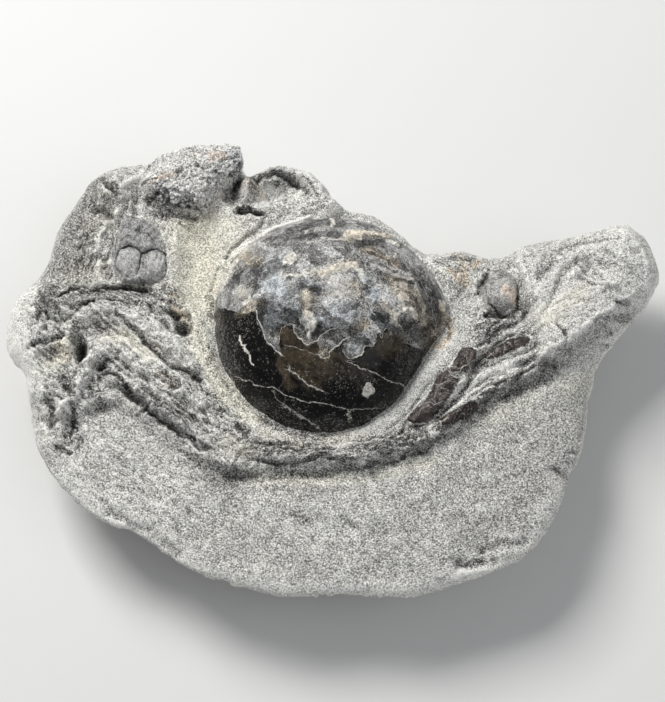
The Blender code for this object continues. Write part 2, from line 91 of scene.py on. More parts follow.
# Large forms of the worked face. Lines are path, half width, rise; swells are centre, radii, rise.
LARGE_LINES = strokes("""
    -17.5,37 -15,39.5 -10,41 -6,40 -3,37 0,33 2.6 3.2; -61,12 -62.5,6 -62.5,1 -60,-5 4.5 1.8;
    -58,9 -50,11 -40,11 -33,9 2.6 1.4; -50,22 -48,28 -46.5,33 2.5 1.2; -54,-13 -56,-19 2 1;
    26,-7.5 30,-5.3 34,-3.6 38,-1.3 1.2 0.9; 36,-6 43,-3 1.6 1; -53,12.8 -48,12.6 -43,14 -38,13.4 0.9 -1.2;
    -41,-9.2 -37,-12.8 -32,-16.8 -26,-20 1.3 -2; -15,-24 -6,-24.4 6,-24 16,-21.5 1.3 -1; 31,-10.5 36,-7.3 1.3 -1;""")
SWELLS = [
    ((-45.5, 37.5), (6.0, 6.0), 3.5), ((-30, 40), (15.0, 9.0), 3.0), ((-26.5, 19), (6.5, 15.0), -3.2),
    ((26.5, 9), (4.0, 9.5), -1.6), ((-10.5, 35), (7.0, 5.0), -2.8), ((-20.5, 36), (3.0, 4.5), -5.0),
    ((-56.5, -1), (3.5, 3.0), -1.8), ((-50.3, -0.3), (1.7, 2.8), -3.5), ((-46.5, -3.6), (2.2, 1.3), -2.0),
    ((-29.8, 4.5), (2.2, 1.7), -2.2), ((-22, -24), (4.5, 2.5), 1.0),
]
# Zones of the worked face: outline, softness, lumps, facets, streaks, direction of the streaks
ZONES = [
    ([(-64, 12), (-52, 15), (-38, 14.5), (-31, 13), (-28, 3), (-24, -8), (-17, -17), (-17, -25), (-26, -25),
      (-34, -17), (-41, -11), (-47, -9), (-50, -20), (-57, -22), (-60, -15), (-60, -3)], 2.5, 0.28, 0.35, 0.6, -37),
    ([(-58, 15), (-56, 28), (-51, 40), (-42, 46), (-22, 48), (-20, 32), (-33, 31), (-33, 15)],
     2.0, 0.2, 0.24, 0.34, 72),
    ([(10, -20), (20, -20), (36, -9), (44, -2), (41, 10), (39, 21), (30, 21), (30, 4), (22, -7), (12, -16)],
     1.5, 0.16, 0.25, 0.26, 38),
    ([(37, 24), (62, 31), (69, 20), (64, 12), (52, 3), (44, -3), (38, -4), (40, 10)], 2.0, 0.08, 0.22, 0.2, 26),
    ([(-62, -22), (-50, -14), (-38, -18), (-26, -27), (-24, -36), (-36, -40), (-52, -34)], 5.0, 0.07, 0.10, 0.22, -35),
    ([(-19, -18), (-10, -19.5), (8, -19), (20, -18), (12, -25), (-12, -26), (-20, -26)], 1.0, 0.3, 0.3, 0.45, 2),
    ([(-20, 31), (-18, 46), (-3, 44), (2, 34), (14, 30), (22, 24), (17, 24), (8, 31), (-6, 31), (-14, 29)],
     1.0, 0.22, 0.28, 0.25, 20),
    ([(23, 23), (31, 23), (31, 14), (25, 12)], 1.5, 0.45, 0.3, 0.1, 60),
]
# Small forms, as path, half width and rise: cracks, slots and pits fall, and crests and slivers rise
SMALL_LINES = strokes("""
    # bank and crack above the left legs
    -55,12.5 -53.5,14 -49,13.5 -45.5,14.5 -41,14.5 -38.5,14 0.35 -1.3; -41.5,14.2 -38,14 -35.5,12.5 0.7 -1.4;
    -60.5,1 -58.5,2.5 -54.5,3.5 0.5 -1; -57,11 -53,9.5 -48,10.5 0.5 -0.8; -55,7 -50,10 -44,10.6 0.45 -0.7;
    -59.5,13.5 -57.5,9.5 -57.5,5 0.6 -1; -33.5,7.5 -31,6.6 -28.5,7.4 0.5 -1.3; -31.8,7.9 -30,7.7 1 1.2;
    -36,12 -32,9 -30.5,8.6 0.5 -0.9;
    # left legs: crest of the first, grooves between them, slots under the third
    -27.5,-3.5 -31,0 -35,3.5 -39,6 -43,8 -48,8.3 -52,6.5 -53,2 0.8 0.5;
    -43,7.5 -40.5,5 -37.5,2.5 -35.5,-0.5 -32,-3.5 -29.5,-4.5 -26,-6.5 0.4 -1.2; -45,4.5 -41,3 -38.5,0.5 0.5 -0.8;
    -35,-4 -32.5,-6 -30,-8.4 0.7 -0.9; -31.6,-8.2 -30.6,-8 0.9 -1; -29,-8 -27.5,-10 0.6 -0.6;
    -26,-11.5 -30,-8.5 -34,-5 -38,-1.5 -42,1 -45.5,0.8 0.9 0.4; -48,-2 -49.5,-6 -51.5,-9.5 -54,-13 -53.5,-18 0.6 0.6;
    -47,-2.8 -45.5,-5.3 0.9 -1.5; -47,-4.6 -44.5,-3.9 0.22 1.4;
    -46.5,-5.5 -45,-4.8 -43,-5 -41.5,-6.5 -41,-7.5 0.4 -1.2;
    -41,-7.5 -38,-10.5 -34,-14.5 -31,-16.5 -26.5,-18.5 0.4 -1.3; -40.5,-8.8 -38.6,-10.4 0.9 -1.2;
    -38.5,-12.6 -36.5,-11 0.2 1.5; -36.8,-12.9 -35.2,-11.6 0.16 1.2; -26.3,-17.6 -25.2,-20.6 0.16 1;
    -27.4,-17.8 -22.5,-20.4 0.16 0.9; -26.5,-19.5 -24.3,-20.8 0.7 -1.2; -36.5,-8 -32.5,-11.2 -28.5,-14 0.3 -0.5;
    -35,-13 -30,-17 0.25 -0.6; -18.6,-16.2 -16.6,-17.4 0.7 -1; -22,-12.5 -20,-13.8 -18,-14.2 0.3 -0.6;
    -25,-14.8 -22.5,-16 -21,-17.5 0.35 -0.6; -23,-9.8 -21,-12.5 1.1 0.5;
    # broken ground at the lower left
    -53.3,-5.5 -51.8,-9 1.1 -1.2; -56.2,-9.5 -55.2,-14 0.9 -1.3; -51.5,-11.5 -51,-16 0.6 -1; -48,-8 -46,-12 0.9 -0.7;
    -54.5,-19 -52.6,-19.2 -51.5,-20.5 0.4 -0.9; -60.5,-14 -57,-15.5 0.3 -0.7; -58,-4 -54.5,-3.5 0.35 -0.6;
    # around the left claw, and the raised edge in front of it
    -52,41 -47,44.2 -41,45.2 2.6 2.2; -48.3,39.5 -45.3,36.2 0.35 -0.9;
    -44.2,42.3 -45.3,40.1 -43.2,36.5 -43.7,33.6 0.7 0.8; -52.8,23.4 -49.2,23.3 0.8 -0.7;
    -50.9,21.3 -47.2,20.5 0.6 -0.6; -54.6,27.2 -52.8,28.2 0.7 -0.6; -40,40 -43,36 -42,33 0.6 0.9;
    -46.5,36 -45.2,34.8 0.6 -1.4; -47.5,38 -46,36 0.4 -1; -50,32.2 -47,30.6 -45.5,29 0.8 -1.2;
    -51.5,20 -50.5,26 0.9 -0.7; -46.5,15 -48,21 -46.8,27 -44.5,31.5 0.7 0.9; -33,30 -32.5,24 -31.5,18 0.6 0.4;
    -41,31.8 -36,30.8 -31,30.2 -27,30.2 0.8 -1; -21,45 -20.3,38 0.8 -0.6;
    # scoop in front of the carapace, and the ledge along the carapace's front left edge
    -16.1,38.5 -14.7,39.4 -12,39.7 -8.9,38.8 -6.8,37.3 0.8 -2.4; -19.5,31.3 -17,31.6 -14.3,30.4 0.5 -2.2;
    -6,38.5 -3.8,36.8 -3,35 0.35 -1; -12,34 -7,34.8 -3.4,33.6 0.6 0.6; -20,21 -17,24 -13,26.8 -8,28.9 -5,30 0.55 1.5;
    -22,21 -18,25.4 -14,28.4 0.45 -0.9; -24.8,14 -23.6,18.5 0.35 -0.7;
    # collar of stone around the carapace
    -29,10.5 -26,4 -24.4,-1.5 -21,-8 -15,-13.8 0.8 0.6; -0.5,-19 5,-17.6 11,-14.4 16,-9 20,-3 24,2.5 1.5 0.8;
    10.5,-17.5 15,-12.8 19.5,-7 0.25 -0.6; 13,-17.5 17.5,-12.4 21.6,-6.4 0.3 -0.8;
    # hind leg and its undercut
    -14.5,-22.9 -10.5,-23.7 -2.5,-22.6 0,-23 0.4 -0.9; 6.5,-23.7 12,-22.6 17,-20.6 0.4 -0.9;
    -11,-20.6 -5,-21.4 1,-21 0.3 -0.6; -15,-19.5 -11.5,-20 -9,-19.4 0.5 -0.7;
    # right legs: gaps between them, and their splintered upper ends
    20.8,-14.6 24.5,-10.2 27.5,-5.6 30.4,-2.4 0.5 -0.5; 28.5,-2.8 32,1.2 36,3.6 0.4 -0.9;
    31,2.2 35,5.2 39.3,8.2 0.5 -1; 29,1.5 33,5.5 37,9 0.3 -0.7; 24.5,-9.6 30,-6.2 36,-3 40,-0.5 0.9 0.45;
    27,-10.2 31,-7.9 35,-6 0.35 -0.9; 24,-14.8 29,-11.8 34,-8.2 0.6 -1.3;
    29.2,-7.6 33,-6.8 32.4,-8.6 28.8,-10 0.3 -0.7; 37,-6 40,-3.6 43.5,-2.6 0.5 -1.1; 31,7.5 36.3,7.4 38,9.5 0.6 -1.5;
    37.6,10 38.4,14 37,18 0.5 -0.9; 30.2,10 30,14 31.5,18.4 0.45 -1; 26.8,4 29,8.5 29.4,12 0.3 -0.4;
    # right arm: its crest, the hollow with its ledge, and the broken lower side
    62.5,13.5 53.5,6.8 45,-0.2 40,-3.4 0.9 0.6; 48.4,17.1 49.9,15.4 51.9,14.6 54.8,14.2 57.2,14 0.5 1.1;
    49.2,18.4 52,18.8 57,17.8 1.6 -1; 57.5,10.4 59.9,10.8 0.5 -1.3; 52.5,5.6 55.5,7.1 58.9,8.9 62.5,9.9 0.35 -1.1;
    53.1,4.6 56.7,6.3 0.3 -0.9; 54.7,3.1 58.9,5.1 0.3 -0.9; 41.4,14.5 43.6,16.8 45.4,18.9 0.9 -0.7;
    45.1,12.7 46.7,15.3 48,17.6 0.7 -0.6; 44,20 48,22 52,23.8 1 -0.6; 44.8,4.5 46.3,2.4 45.8,0.6 0.45 -1.2;
    40.5,4.8 43.5,8.5 45,13 47.5,18 0.5 -0.6; 55.5,22 59.5,18.5 63.5,15.5 0.5 -0.7; 47,22.5 53,24 59,24.5 0.5 -0.6;
    60,27 63,23 65,18 0.6 0.6; 39.5,21 41,15 41.6,9 0.8 0.5;
    # shallower feet of the third left leg and of the hind leg, and shallower pits beside the second leg and the claw
    -46.6,-3.5 -46.3,-3.8 1.6 1.3; -20.6,34.2 -20,36.6 2.3 3; -41,-9.2 -37,-12.8 -32,-16.8 -26,-20 1.3 1.4;
    -15,-24 -6,-24.4 6,-24 16,-21.5 1.3 0.9;
    # worn face behind the crab
    -33.5,-31 -30.5,-29.5 0.5 0.3; 30.5,-27.5 37.5,-24.5 0.5 -0.25; 27,-30.5 35,-28 0.5 -0.2;
    -8,-33 -6,-34.5 0.5 -0.35; 1.5,-34.3 5.5,-35.4 0.4 -0.4; -1.5,-38.4 0.6,-39.2 0.5 -0.3;
    -14,-27.6 -8,-28.6 0.7 -0.2; 43.5,-24 46.5,-25.5 0.8 -1; 45.5,-21 49,-20 0.4 -0.6;
    24,-42.4 27.5,-42 31,-42.2 1.2 -1.4; 29,-40 33,-39 37.5,-38.6 0.9 -0.8; -43,-33 -36,-36 -30,-40.4 1.1 -1;""")


# Farther than anything on the part
FAR = 1e6
# Height of a leg over its half width
LEG_HEIGHT = 0.72


def smooth_loop(corners, step):
    """Closed smooth curve through the corners, with points about a step apart."""
    loop = []
    count = len(corners)
    for i in range(count):
        before, start, end, after = (np.array(corners[(i + k) % count], float) for k in (-1, 0, 1, 2))
        parts = max(1, round(np.linalg.norm(end - start) / step))
        for part in range(parts):
            t = part / parts
            loop.append(tuple(0.5 * (2 * start + (end - before) * t
                                     + (2 * before - 5 * start + 4 * end - after) * t ** 2
                                     + (3 * start - before - 3 * end + after) * t ** 3)))
    return loop


def eased(t):
    """Share from 0 to 1 that starts and ends gently."""
    return t * t * (3.0 - 2.0 * t)


def ramp(low, high, value):
    """Smooth step from 0 at low to 1 at high."""
    return eased(np.clip((value - low) / (high - low), 0.0, 1.0))


def from_segment(x, y, start, end):
    """How far along a segment each place lies, from 0 to 1, and how far it is from the segment there in x and in y."""
    dx, dy = end[0] - start[0], end[1] - start[1]
    along = np.clip(((x - start[0]) * dx + (y - start[1]) * dy) / (dx * dx + dy * dy), 0.0, 1.0)
    return along, x - start[0] - along * dx, y - start[1] - along * dy


def line_distance(x, y, path):
    """Distance from each place to a path."""
    nearest = np.full(np.shape(x), FAR)
    for start, end in zip(path, path[1:]):
        nearest = np.minimum(nearest, np.hypot(*from_segment(x, y, start, end)[1:]))
    return nearest


def depth_inside(x, y, outline):
    """Distance from the outline, positive inside it and negative outside."""
    closed = list(outline) + [outline[0]]
    inside = np.zeros(np.shape(x), bool)
    for (x0, y0), (x1, y1) in zip(closed, closed[1:]):
        if y0 == y1:
            continue
        crosses = (y0 > y) != (y1 > y)
        inside ^= crosses & (x < x0 + (y - y0) * (x1 - x0) / (y1 - y0))
    return np.where(inside, 1.0, -1.0) * line_distance(x, y, closed)


def box_of(path):
    """Lowest x and y of a path, and its highest x and y."""
    flat = np.array([p[:2] for p in path])
    return (*flat.min(axis=0), *flat.max(axis=0))


def near(x, y, path, reach):
    """Numbers of the places within reach of a path's box."""
    low_x, low_y, high_x, high_y = box_of(path)
    return np.flatnonzero((x > low_x - reach) & (x < high_x + reach) & (y > low_y - reach) & (y < high_y + reach))


def lines_relief(x, y, lines):
    """Sum of soft ridges and grooves, given as path, half width and rise."""
    total = np.zeros(len(x))
    for path, half_width, rise in lines:
        i = near(x, y, path, 3.0 * half_width)
        total[i] += rise * np.exp(-(line_distance(x[i], y[i], path) / half_width) ** 2)
    return total


LATTICE_SIZE = 32
LATTICE = np.random.default_rng(11).uniform(-1.0, 1.0, (LATTICE_SIZE,) * 3)
TURN = np.array([[0.36, 0.48, -0.8], [-0.8, 0.6, 0.0], [0.48, 0.64, 0.6]])


def lattice_value(cell):
    """Fixed random value from -1 to 1 of each cell of an endless lattice."""
    return LATTICE[tuple(cell.T % LATTICE_SIZE)]


def lumps(places, size, octaves=3, gain=0.5, sharp=False):
    """Uneven value at each place, mostly from -1 to 1: soft lumps of a size, or sharp crests, and finer ones."""
    place = np.asarray(places, float) / size + 5.7
    total = np.zeros(len(place))
    weight = 1.0
    for _ in range(octaves):
        cell = np.floor(place).astype(int)
        t = eased(place - cell)
        value = 0.0
        for corner in range(8):
            bits = np.array([corner & 1, corner >> 1 & 1, corner >> 2])
            share = np.prod(np.where(bits, t, 1.0 - t), axis=1)
            value = value + share * lattice_value(cell + bits)
        total += weight * (0.55 - 2.0 * np.abs(value) if sharp else value)
        weight *= gain
        place = place @ TURN * 2.03 + 3.1
    return total * 1.4


def facets(places, size):
    """Broken, flat-faced relief: each nearest cell of a jittered lattice carries its own tilted plane."""
    place = np.asarray(places, float) / size
    base = np.floor(place).astype(int)
    best = np.full(len(place), FAR)
    value = np.zeros(len(place))
    for shift in np.ndindex(3, 3, 3):
        cell = base + np.array(shift) - 1
        seed = [lattice_value(cell * (1, 3, 5) + k * 7) for k in range(6)]
        offset = place - cell - 0.5 - 0.45 * np.column_stack(seed[:3])
        distance = np.sum(offset ** 2, axis=1)
        closer = distance < best
        tilt = np.sum(offset * np.column_stack(seed[3:]), axis=1) + 0.5 * seed[3]
        best = np.where(closer, distance, best)
        value = np.where(closer, tilt, value)
    return value


def spots(x, y, z=0.0):
    """Places as rows of three coordinates, all at one level."""
    return np.column_stack((x, y, np.full(len(x), z)))


def wandered(x, y, reach, size, shift, octaves=3, gain=0.5):
    """The same places moved about a little, so that what is drawn through them runs unevenly."""
    flat = spots(x, y)
    return x + reach * lumps(flat, size, octaves, gain), y + reach * lumps(flat + shift, size, octaves, gain)


def turned(x, y, direction):
    """Places along and across a direction given in degrees."""
    c, s = math.cos(math.radians(direction)), math.sin(math.radians(direction))
    return x * c + y * s, y * c - x * s


def streaks(x, y, direction, length, width):
    """Sharp crests drawn out along a direction."""
    along, across = turned(x, y, direction)
    return lumps(spots(along / length, across / width, 4.2), 1.0, 4, 0.6, True)


NODULE_LOOP = smooth_loop(NODULE_OUTLINE, 3.2)


def stone_form(x, y):
    """Large form of the worked face: the same one that the part's solid has."""
    height = 21.0 - x ** 2 / 1800.0 - y ** 2 / 900.0
    height += 2.0 * ramp(-1.2, 1.2, depth_inside(x, y, CRAB_FIELD))
    height += 3.2 * ramp(-1.2, 1.6, depth_inside(x, y, RIGHT_ARM))
    height -= 1.2 * ramp(0.0, 1.5, depth_inside(x, y, ARM_HOLLOW))
    height += lines_relief(x, y, LARGE_LINES)
    for (cx, cy), (rx, ry), rise in SWELLS:
        spread = ((x - cx) / rx) ** 2 + ((y - cy) / ry) ** 2
        height += rise * np.clip(1.0 - spread, 0.0, 1.0) ** 1.5
    from_shell = np.maximum(-depth_inside(x, y, CARAPACE_OUTLINE), 0.0)
    height -= np.clip(1.0 - from_shell / 4.0, 0.0, 1.0) ** 2
    height += 0.55 * np.array([noise.fractal(Vector((a, b, 0.0)) / 7.0, 1.0, 2.0, 3) for a, b in zip(x, y)])
    worn = ramp(-8.0, -30.0, y)
    width = 9.0 - 6.0 * worn
    fall = 7.0 - 4.5 * worn
    edge = np.clip(1.0 - depth_inside(x, y, NODULE_LOOP) / width, 0.0, 1.0)
    return height - fall * (1.0 - np.sqrt(1.0 - edge ** 2))


# Legs as stations along each one, from the body outwards, with the half width there
LEGS = {
    "left_leg_1": [(-27.5, -3.6, 1.7), (-31, 0, 2.1), (-35, 3.3, 2.2), (-39, 6, 2.3), (-43, 8, 2.3), (-48, 8, 2.0),
                   (-51.7, 6, 1.8), (-53.3, 2.5, 1.6), (-53.3, -2, 1.3)],
    "left_leg_2": [(-26, -11.6, 1.7), (-30, -8.8, 2.1), (-34, -5.3, 2.3), (-38, -1.8, 2.4), (-42, 0.9, 2.4),
                   (-45.6, 0.3, 2.0), (-48.2, -2.6, 1.6), (-49.8, -6.2, 1.5), (-51.6, -9.8, 1.4), (-53.6, -13, 1.2)],
    "left_leg_3": [(-24.3, -18.8, 1.4), (-28, -16.4, 1.8), (-31.8, -13.6, 1.9), (-35.4, -10.7, 1.9), (-39, -7.6, 1.8),
                   (-42, -5.9, 1.6), (-45, -6.2, 1.3)],
    "right_leg_1": [(16, -14.7, 1.7), (18.6, -12.7, 2.1), (21.2, -9.7, 2.3), (23.5, -6.7, 2.3), (26, -3.6, 2.1),
                    (27.6, -0.9, 1.6)],
    "right_leg_2": [(31.4, -1.9, 1.4), (34, -0.4, 1.7), (36.8, 0.9, 1.7), (39, 1.7, 1.3)],
    "right_leg_3": [(21.7, -14.9, 1.4), (24.6, -13.3, 1.8), (27.7, -11, 2.0), (30.8, -8.7, 2.0), (34, -6.7, 1.6),
                    (36.4, -5.2, 1.1)],
    "hind_leg": [(-16, -21.2, 1.4), (-8, -21.9, 1.7), (0, -21.9, 1.8), (7, -21.2, 1.8), (12.5, -20, 1.7),
                 (17, -18.4, 1.4)],
}


def leg_form(x, y, stations):
    """Half-round ridge of one leg."""
    total = np.zeros(len(x))
    i = near(x, y, stations, 3.0)
    for start, end in zip(stations, stations[1:]):
        along, ax, ay = from_segment(x[i], y[i], start, end)
        half_width = start[2] + (end[2] - start[2]) * along
        spread = np.hypot(ax, ay) / half_width
        total[i] = np.maximum(total[i], LEG_HEIGHT * half_width * np.clip(1.0 - spread ** 2, 0.0, 1.0) ** 0.55)
    return total


def worked_face(x, y):
    """Height of the finished worked face, with the legs and the smallest forms on it."""
    flat = spots(x, y)
    wx, wy = wandered(x, y, 0.5, 4.0, 31.0)
    height = stone_form(x, y)
    for stations in LEGS.values():
        height += leg_form(wx, wy, stations)
    height += 0.03 * lumps(flat, 3.0, 3) + 0.02 * lumps(flat, 0.7, 2)
    coarse = 0.5 * lumps(flat, 3.4, 3) - 0.6 * lumps(flat + 3.0, 2.2, 4, 0.62, True)
    broken = facets(flat, 2.6) + 0.6 * facets(flat + 9.0, 1.2)
    for outline, soft, lump, facet, streak, direction in ZONES:
        i = near(x, y, outline, soft)
        share = ramp(-soft, soft, depth_inside(x[i], y[i], outline))
        height[i] += share * (lump * coarse[i] + facet * 0.5 * broken[i]
                              + streak * 0.42 * streaks(wx[i], wy[i], direction, 6.0, 1.1))
    return height + 0.75 * lines_relief(wx, wy, SMALL_LINES)


def stone_grain(x, y):
    """How rugged each place of the worked face is, and where it lies along and across the drift of its zone."""
    rugged, (along, across) = np.zeros(len(x)), turned(x, y, -32)
    for outline, soft, lump, _, streak, direction in ZONES:
        share = ramp(-soft, soft, depth_inside(x, y, outline)) * (0.5 + 0.6 * lump + 0.4 * streak)
        drift = turned(x, y, direction)
        along, across = (np.where(share > rugged, new, old) for new, old in zip(drift, (along, across)))
        rugged = np.maximum(rugged, share)
    return {"rugged": rugged, "along": along, "across": across}


# Weathering and painted light and shade of the worked face, as path, half width and strength. Dark is shell and dirt
# left in the hollows, and in part painted shade under overhangs, along ledges and in slots; cream is lime, pale is
# bruised or bare stone and in part painted light on lit rims and faces, and rust is iron stain.
DIRT_AND_SHADE = strokes("""
    -53,11 -45,12 -37,12 -32,12.4 1.6 0.55; -58.6,13.4 -56,13 -54.8,11.8 1.5 0.6;
    -58.4,12.2 -57.8,9.8 -56.6,8.8 1.5 0.75; -59.3,11 -58.9,7.8 0.6 1; -59,7.4 -57.9,8.6 -55.7,9.6 0.4 0.8;
    -56.5,8.3 -54.8,8.6 0.6 0.9; -52.8,23.4 -49.2,23.3 1 0.6; -52.3,25.4 -49.6,24.6 0.8 0.55;
    -50.9,21.3 -47.2,20.5 1 0.5; -49.1,32 -46.8,34.1 1 0.8; -48.3,39.5 -45.3,36.2 0.6 0.75;
    -54.6,27.2 -52.8,28.2 1.3 0.5; -50.2,38.8 -48.2,38.1 1.1 0.45; -56,22 -54,16 1.5 0.35; -47.5,26 -46.8,17 1.4 0.3;
    -49,18.5 -45,16.8 1.2 0.4; -38.8,33.8 -34,31.6 -29,30 0.9 0.8; 21.6,20 25,21.3 28,21.4 0.9 0.5;
    30.2,13 31.2,16.2 33.7,18 0.7 0.6; 31.5,7.4 36,7 0.7 0.6; -50,9.5 -40,10.3 -34,8.5 1.2 0.4;
    -50.7,2.5 -50.2,-0.5 1 1; -43,7.5 -40.5,5 -37.5,2.5 -35.5,-0.5 -32,-3.5 -29.5,-4.5 -26,-6.5 0.55 0.6;
    -34,-4.5 -31,-7.6 1.1 0.6; -31.6,-8.2 -30.6,-8 0.8 0.8; -56,1 -53.8,-0.6 1 0.5; -45.2,-2.5 -45.9,-4.9 0.9 1;
    -60,1.2 -58,2.6 -54.8,3.6 0.6 0.75; -46.5,-5.5 -45,-4.8 -43,-5 -41.5,-6.5 0.5 0.9; -51.8,5.5 -51.6,2.5 1 0.6;
    -41,-7.5 -38,-10.5 -34,-14.5 -31,-16.5 -26.5,-18.8 0.42 1; -40.5,-8.4 -36.5,-12.4 0.7 1;
    -37.5,-8.5 -34,-11 -30,-13.4 1.2 0.6; -31.5,-12 -28.5,-14.5 1.4 0.6; -53.3,-5.5 -51.8,-9 1.1 0.8;
    -56.2,-9.5 -55.2,-14 0.9 0.85; -51.6,-11.5 -51,-16 0.6 0.7; -48,-6.5 -45.5,-11 1 0.5;
    -54.5,-19 -51.8,-20.3 0.5 0.8; -54,-16 -50,-18 1.5 0.4; -25.5,-22.5 -22,-25.2 -18.5,-25 1.6 0.35;
    -24,-19.5 -20,-22 1.3 0.3; -18.5,-16 -16.5,-17.4 0.7 0.7; -23.4,-9.6 -21.2,-12.4 0.9 0.5;
    -50,-3.5 -47.5,-9 0.9 0.5; -31,-7.4 -27.8,-9.4 0.8 0.5; -29,5.6 -30,4.6 1.3 0.95;
    -33,8.8 -31.2,6.4 -28.4,7.3 0.6 0.8; -40,14.3 -38,14 1 0.9; -34.5,13.5 -32.5,10 1.2 0.55;
    -55,12.5 -53.5,14 -49,13.5 -45.5,14.5 -41,14.5 0.4 0.8; -46,35.8 -45,34.8 0.6 1; -48,37.4 -46.4,36 0.8 0.6;
    -49.8,32 -46,29.8 1 0.7; -52,19 -50.2,26 1.7 0.6; -51.6,23 -51,20 0.7 0.9; -36,30.6 -30,28.8 1.1 0.5;
    -52,36 -52.5,27 -55,19 5.5 0.46; 32,-34 40,-28 46,-18 9 0.2; -20.6,43 -20,40 -19.8,37.6 0.9 0.6;
    -22,35 -20,34 1.3 0.4; -16.1,38.4 -14.7,39.5 -12,39.8 -8.9,38.9 1.2 1; -8.9,38.9 -6.8,37.3 -5.1,35.6 0.5 0.8;
    -17.5,38 -16,35.5 1.1 0.6; -19.5,31.3 -17,31.6 -14.3,30.4 0.6 1; -5.8,38.4 -3.4,36 0.5 0.7;
    -13,31.5 -8,32.4 -5.2,32 1 0.45; -11.5,30 -8,31 0.6 0.5; -20,20 -15.5,24.6 0.6 0.5; -25,13 -24,8 0.8 0.7;
    -26.6,5.5 -26,1 0.6 0.4; -24.6,0 -23.2,-5 -20,-9.6 -15,-13.8 -9.5,-16.7 -3,-18.3 3,-18.3 0.9 0.55;
    -15.5,-20.2 -9,-20.7 -2,-21 1.5 0.6; -14.5,-22.9 -9,-23.7 -2.5,-22.8 6,-24 0.4 0.6; 6,-20 12,-19.4 17,-18 2 0.62;
    6.5,-23.7 12,-22.6 18,-20.2 22,-17.4 0.5 0.6; 21,-16.2 26,-13.4 31,-10 1 0.6;
    29,-11.4 34,-8 38,-5.2 44,-2.6 1 0.75; 21,-14.4 25,-10 28,-5.4 30.6,-2.2 0.5 0.6;
    30.2,2.6 33.2,5 36.9,7.4 39.1,9.1 1.3 0.95; 28.9,5 31.1,6.2 0.7 0.7; 31,-1 38.5,3 1.4 0.5; 29,2 33,7 1 0.6;
    37,9.5 39.8,10.6 0.9 0.6; 31,8 36.3,7.6 0.8 0.9; 37.8,11 38.2,15 0.8 0.5; 39.5,-1.2 43,-3.4 45.5,-0.8 0.8 0.55;
    49,18.3 51.1,19.6 54,19.4 60,18.6 1.5 0.3; 49.2,18 50.6,16.7 0.5 0.6; 41.4,14.5 43.6,16.8 45.4,18.9 0.8 0.45;
    45.1,12.7 46.7,15.3 48,17.6 0.6 0.35; 44.1,20.5 47.7,22.5 52,24.3 0.8 0.25; 44.8,4.5 46.2,1.6 0.7 0.55;
    52.5,5.6 55.5,7.1 58.9,8.9 62.5,9.9 0.5 0.6; 53.1,4.6 56.7,6.3 0.4 0.5; 54.7,3.1 58.9,5.1 0.4 0.5;
    48.8,1.1 50.9,3 53.1,5.3 0.8 0.45; 57.5,10.4 59.9,10.8 0.6 0.85; 36,20 41.5,17 1.1 0.35;
    24,-6.2 26.6,-3.8 29,-2.8 32.9,-1.4 0.9 0.95; 37.4,-3.3 39.8,-1.8 44.4,-3.1 0.9 0.8; 46,-0.6 47.6,-0.2 0.6 0.8;
    32.6,-8.8 38.4,-6.7 42.7,-5 1.3 0.75; 28.8,1.4 32.7,3 0.7 0.85; 21.4,-16.2 25,-14.6 30.4,-11.4 0.6 0.9;
    38.7,8 41,10 0.6 0.7; 23.7,6.4 23,2.5 0.5 0.8; 43.5,-24.2 46.5,-25.4 0.6 0.7; 20.5,26 23.5,25 0.8 0.35;
    -7.5,-33.2 -5.6,-34.6 0.6 0.45; 1.5,-34.4 5.4,-35.4 0.4 0.5; -10.5,-27 -3.5,-28 1.6 0.18;
    28,-29.5 36,-26.6 1.2 0.16; 24,-43.3 29,-42.7 0.7 0.5;""")
CREAM = strokes("""
    -28,27 -26.5,20 -26,12 5 1; -22.5,27 -24,22 3.5 0.7; -35,15 -45,17 1.5 0.3;
    -29,9 -27,3 -24.6,-3 -21,-9 -15.5,-14.4 1.7 0.85; -45,3 -39.5,1.6 -36,-1.5 1.4 0.65; -55.5,-1.5 -53,0.5 2.2 0.5;
    -16,-26 -6,-26.6 8,-26 20,-22 1.1 0.5; -20,-19.5 -16,-21.6 1.6 0.5; 43,6 46.4,9.5 50,11.5 1.8 0.6;
    47,-6 52,-4.5 2.2 0.4; 30,-13.5 40,-8 2.2 0.3; -45,26 -47.5,33 1.4 0.35; -48,18 -53,17 2.5 0.4;
    -47.5,34 -49.5,28 -51.5,20 2 0.35; -2,-19.2 6,-18 1 0.5; -13,-17.4 -7,-19.2 1.2 0.5;""")
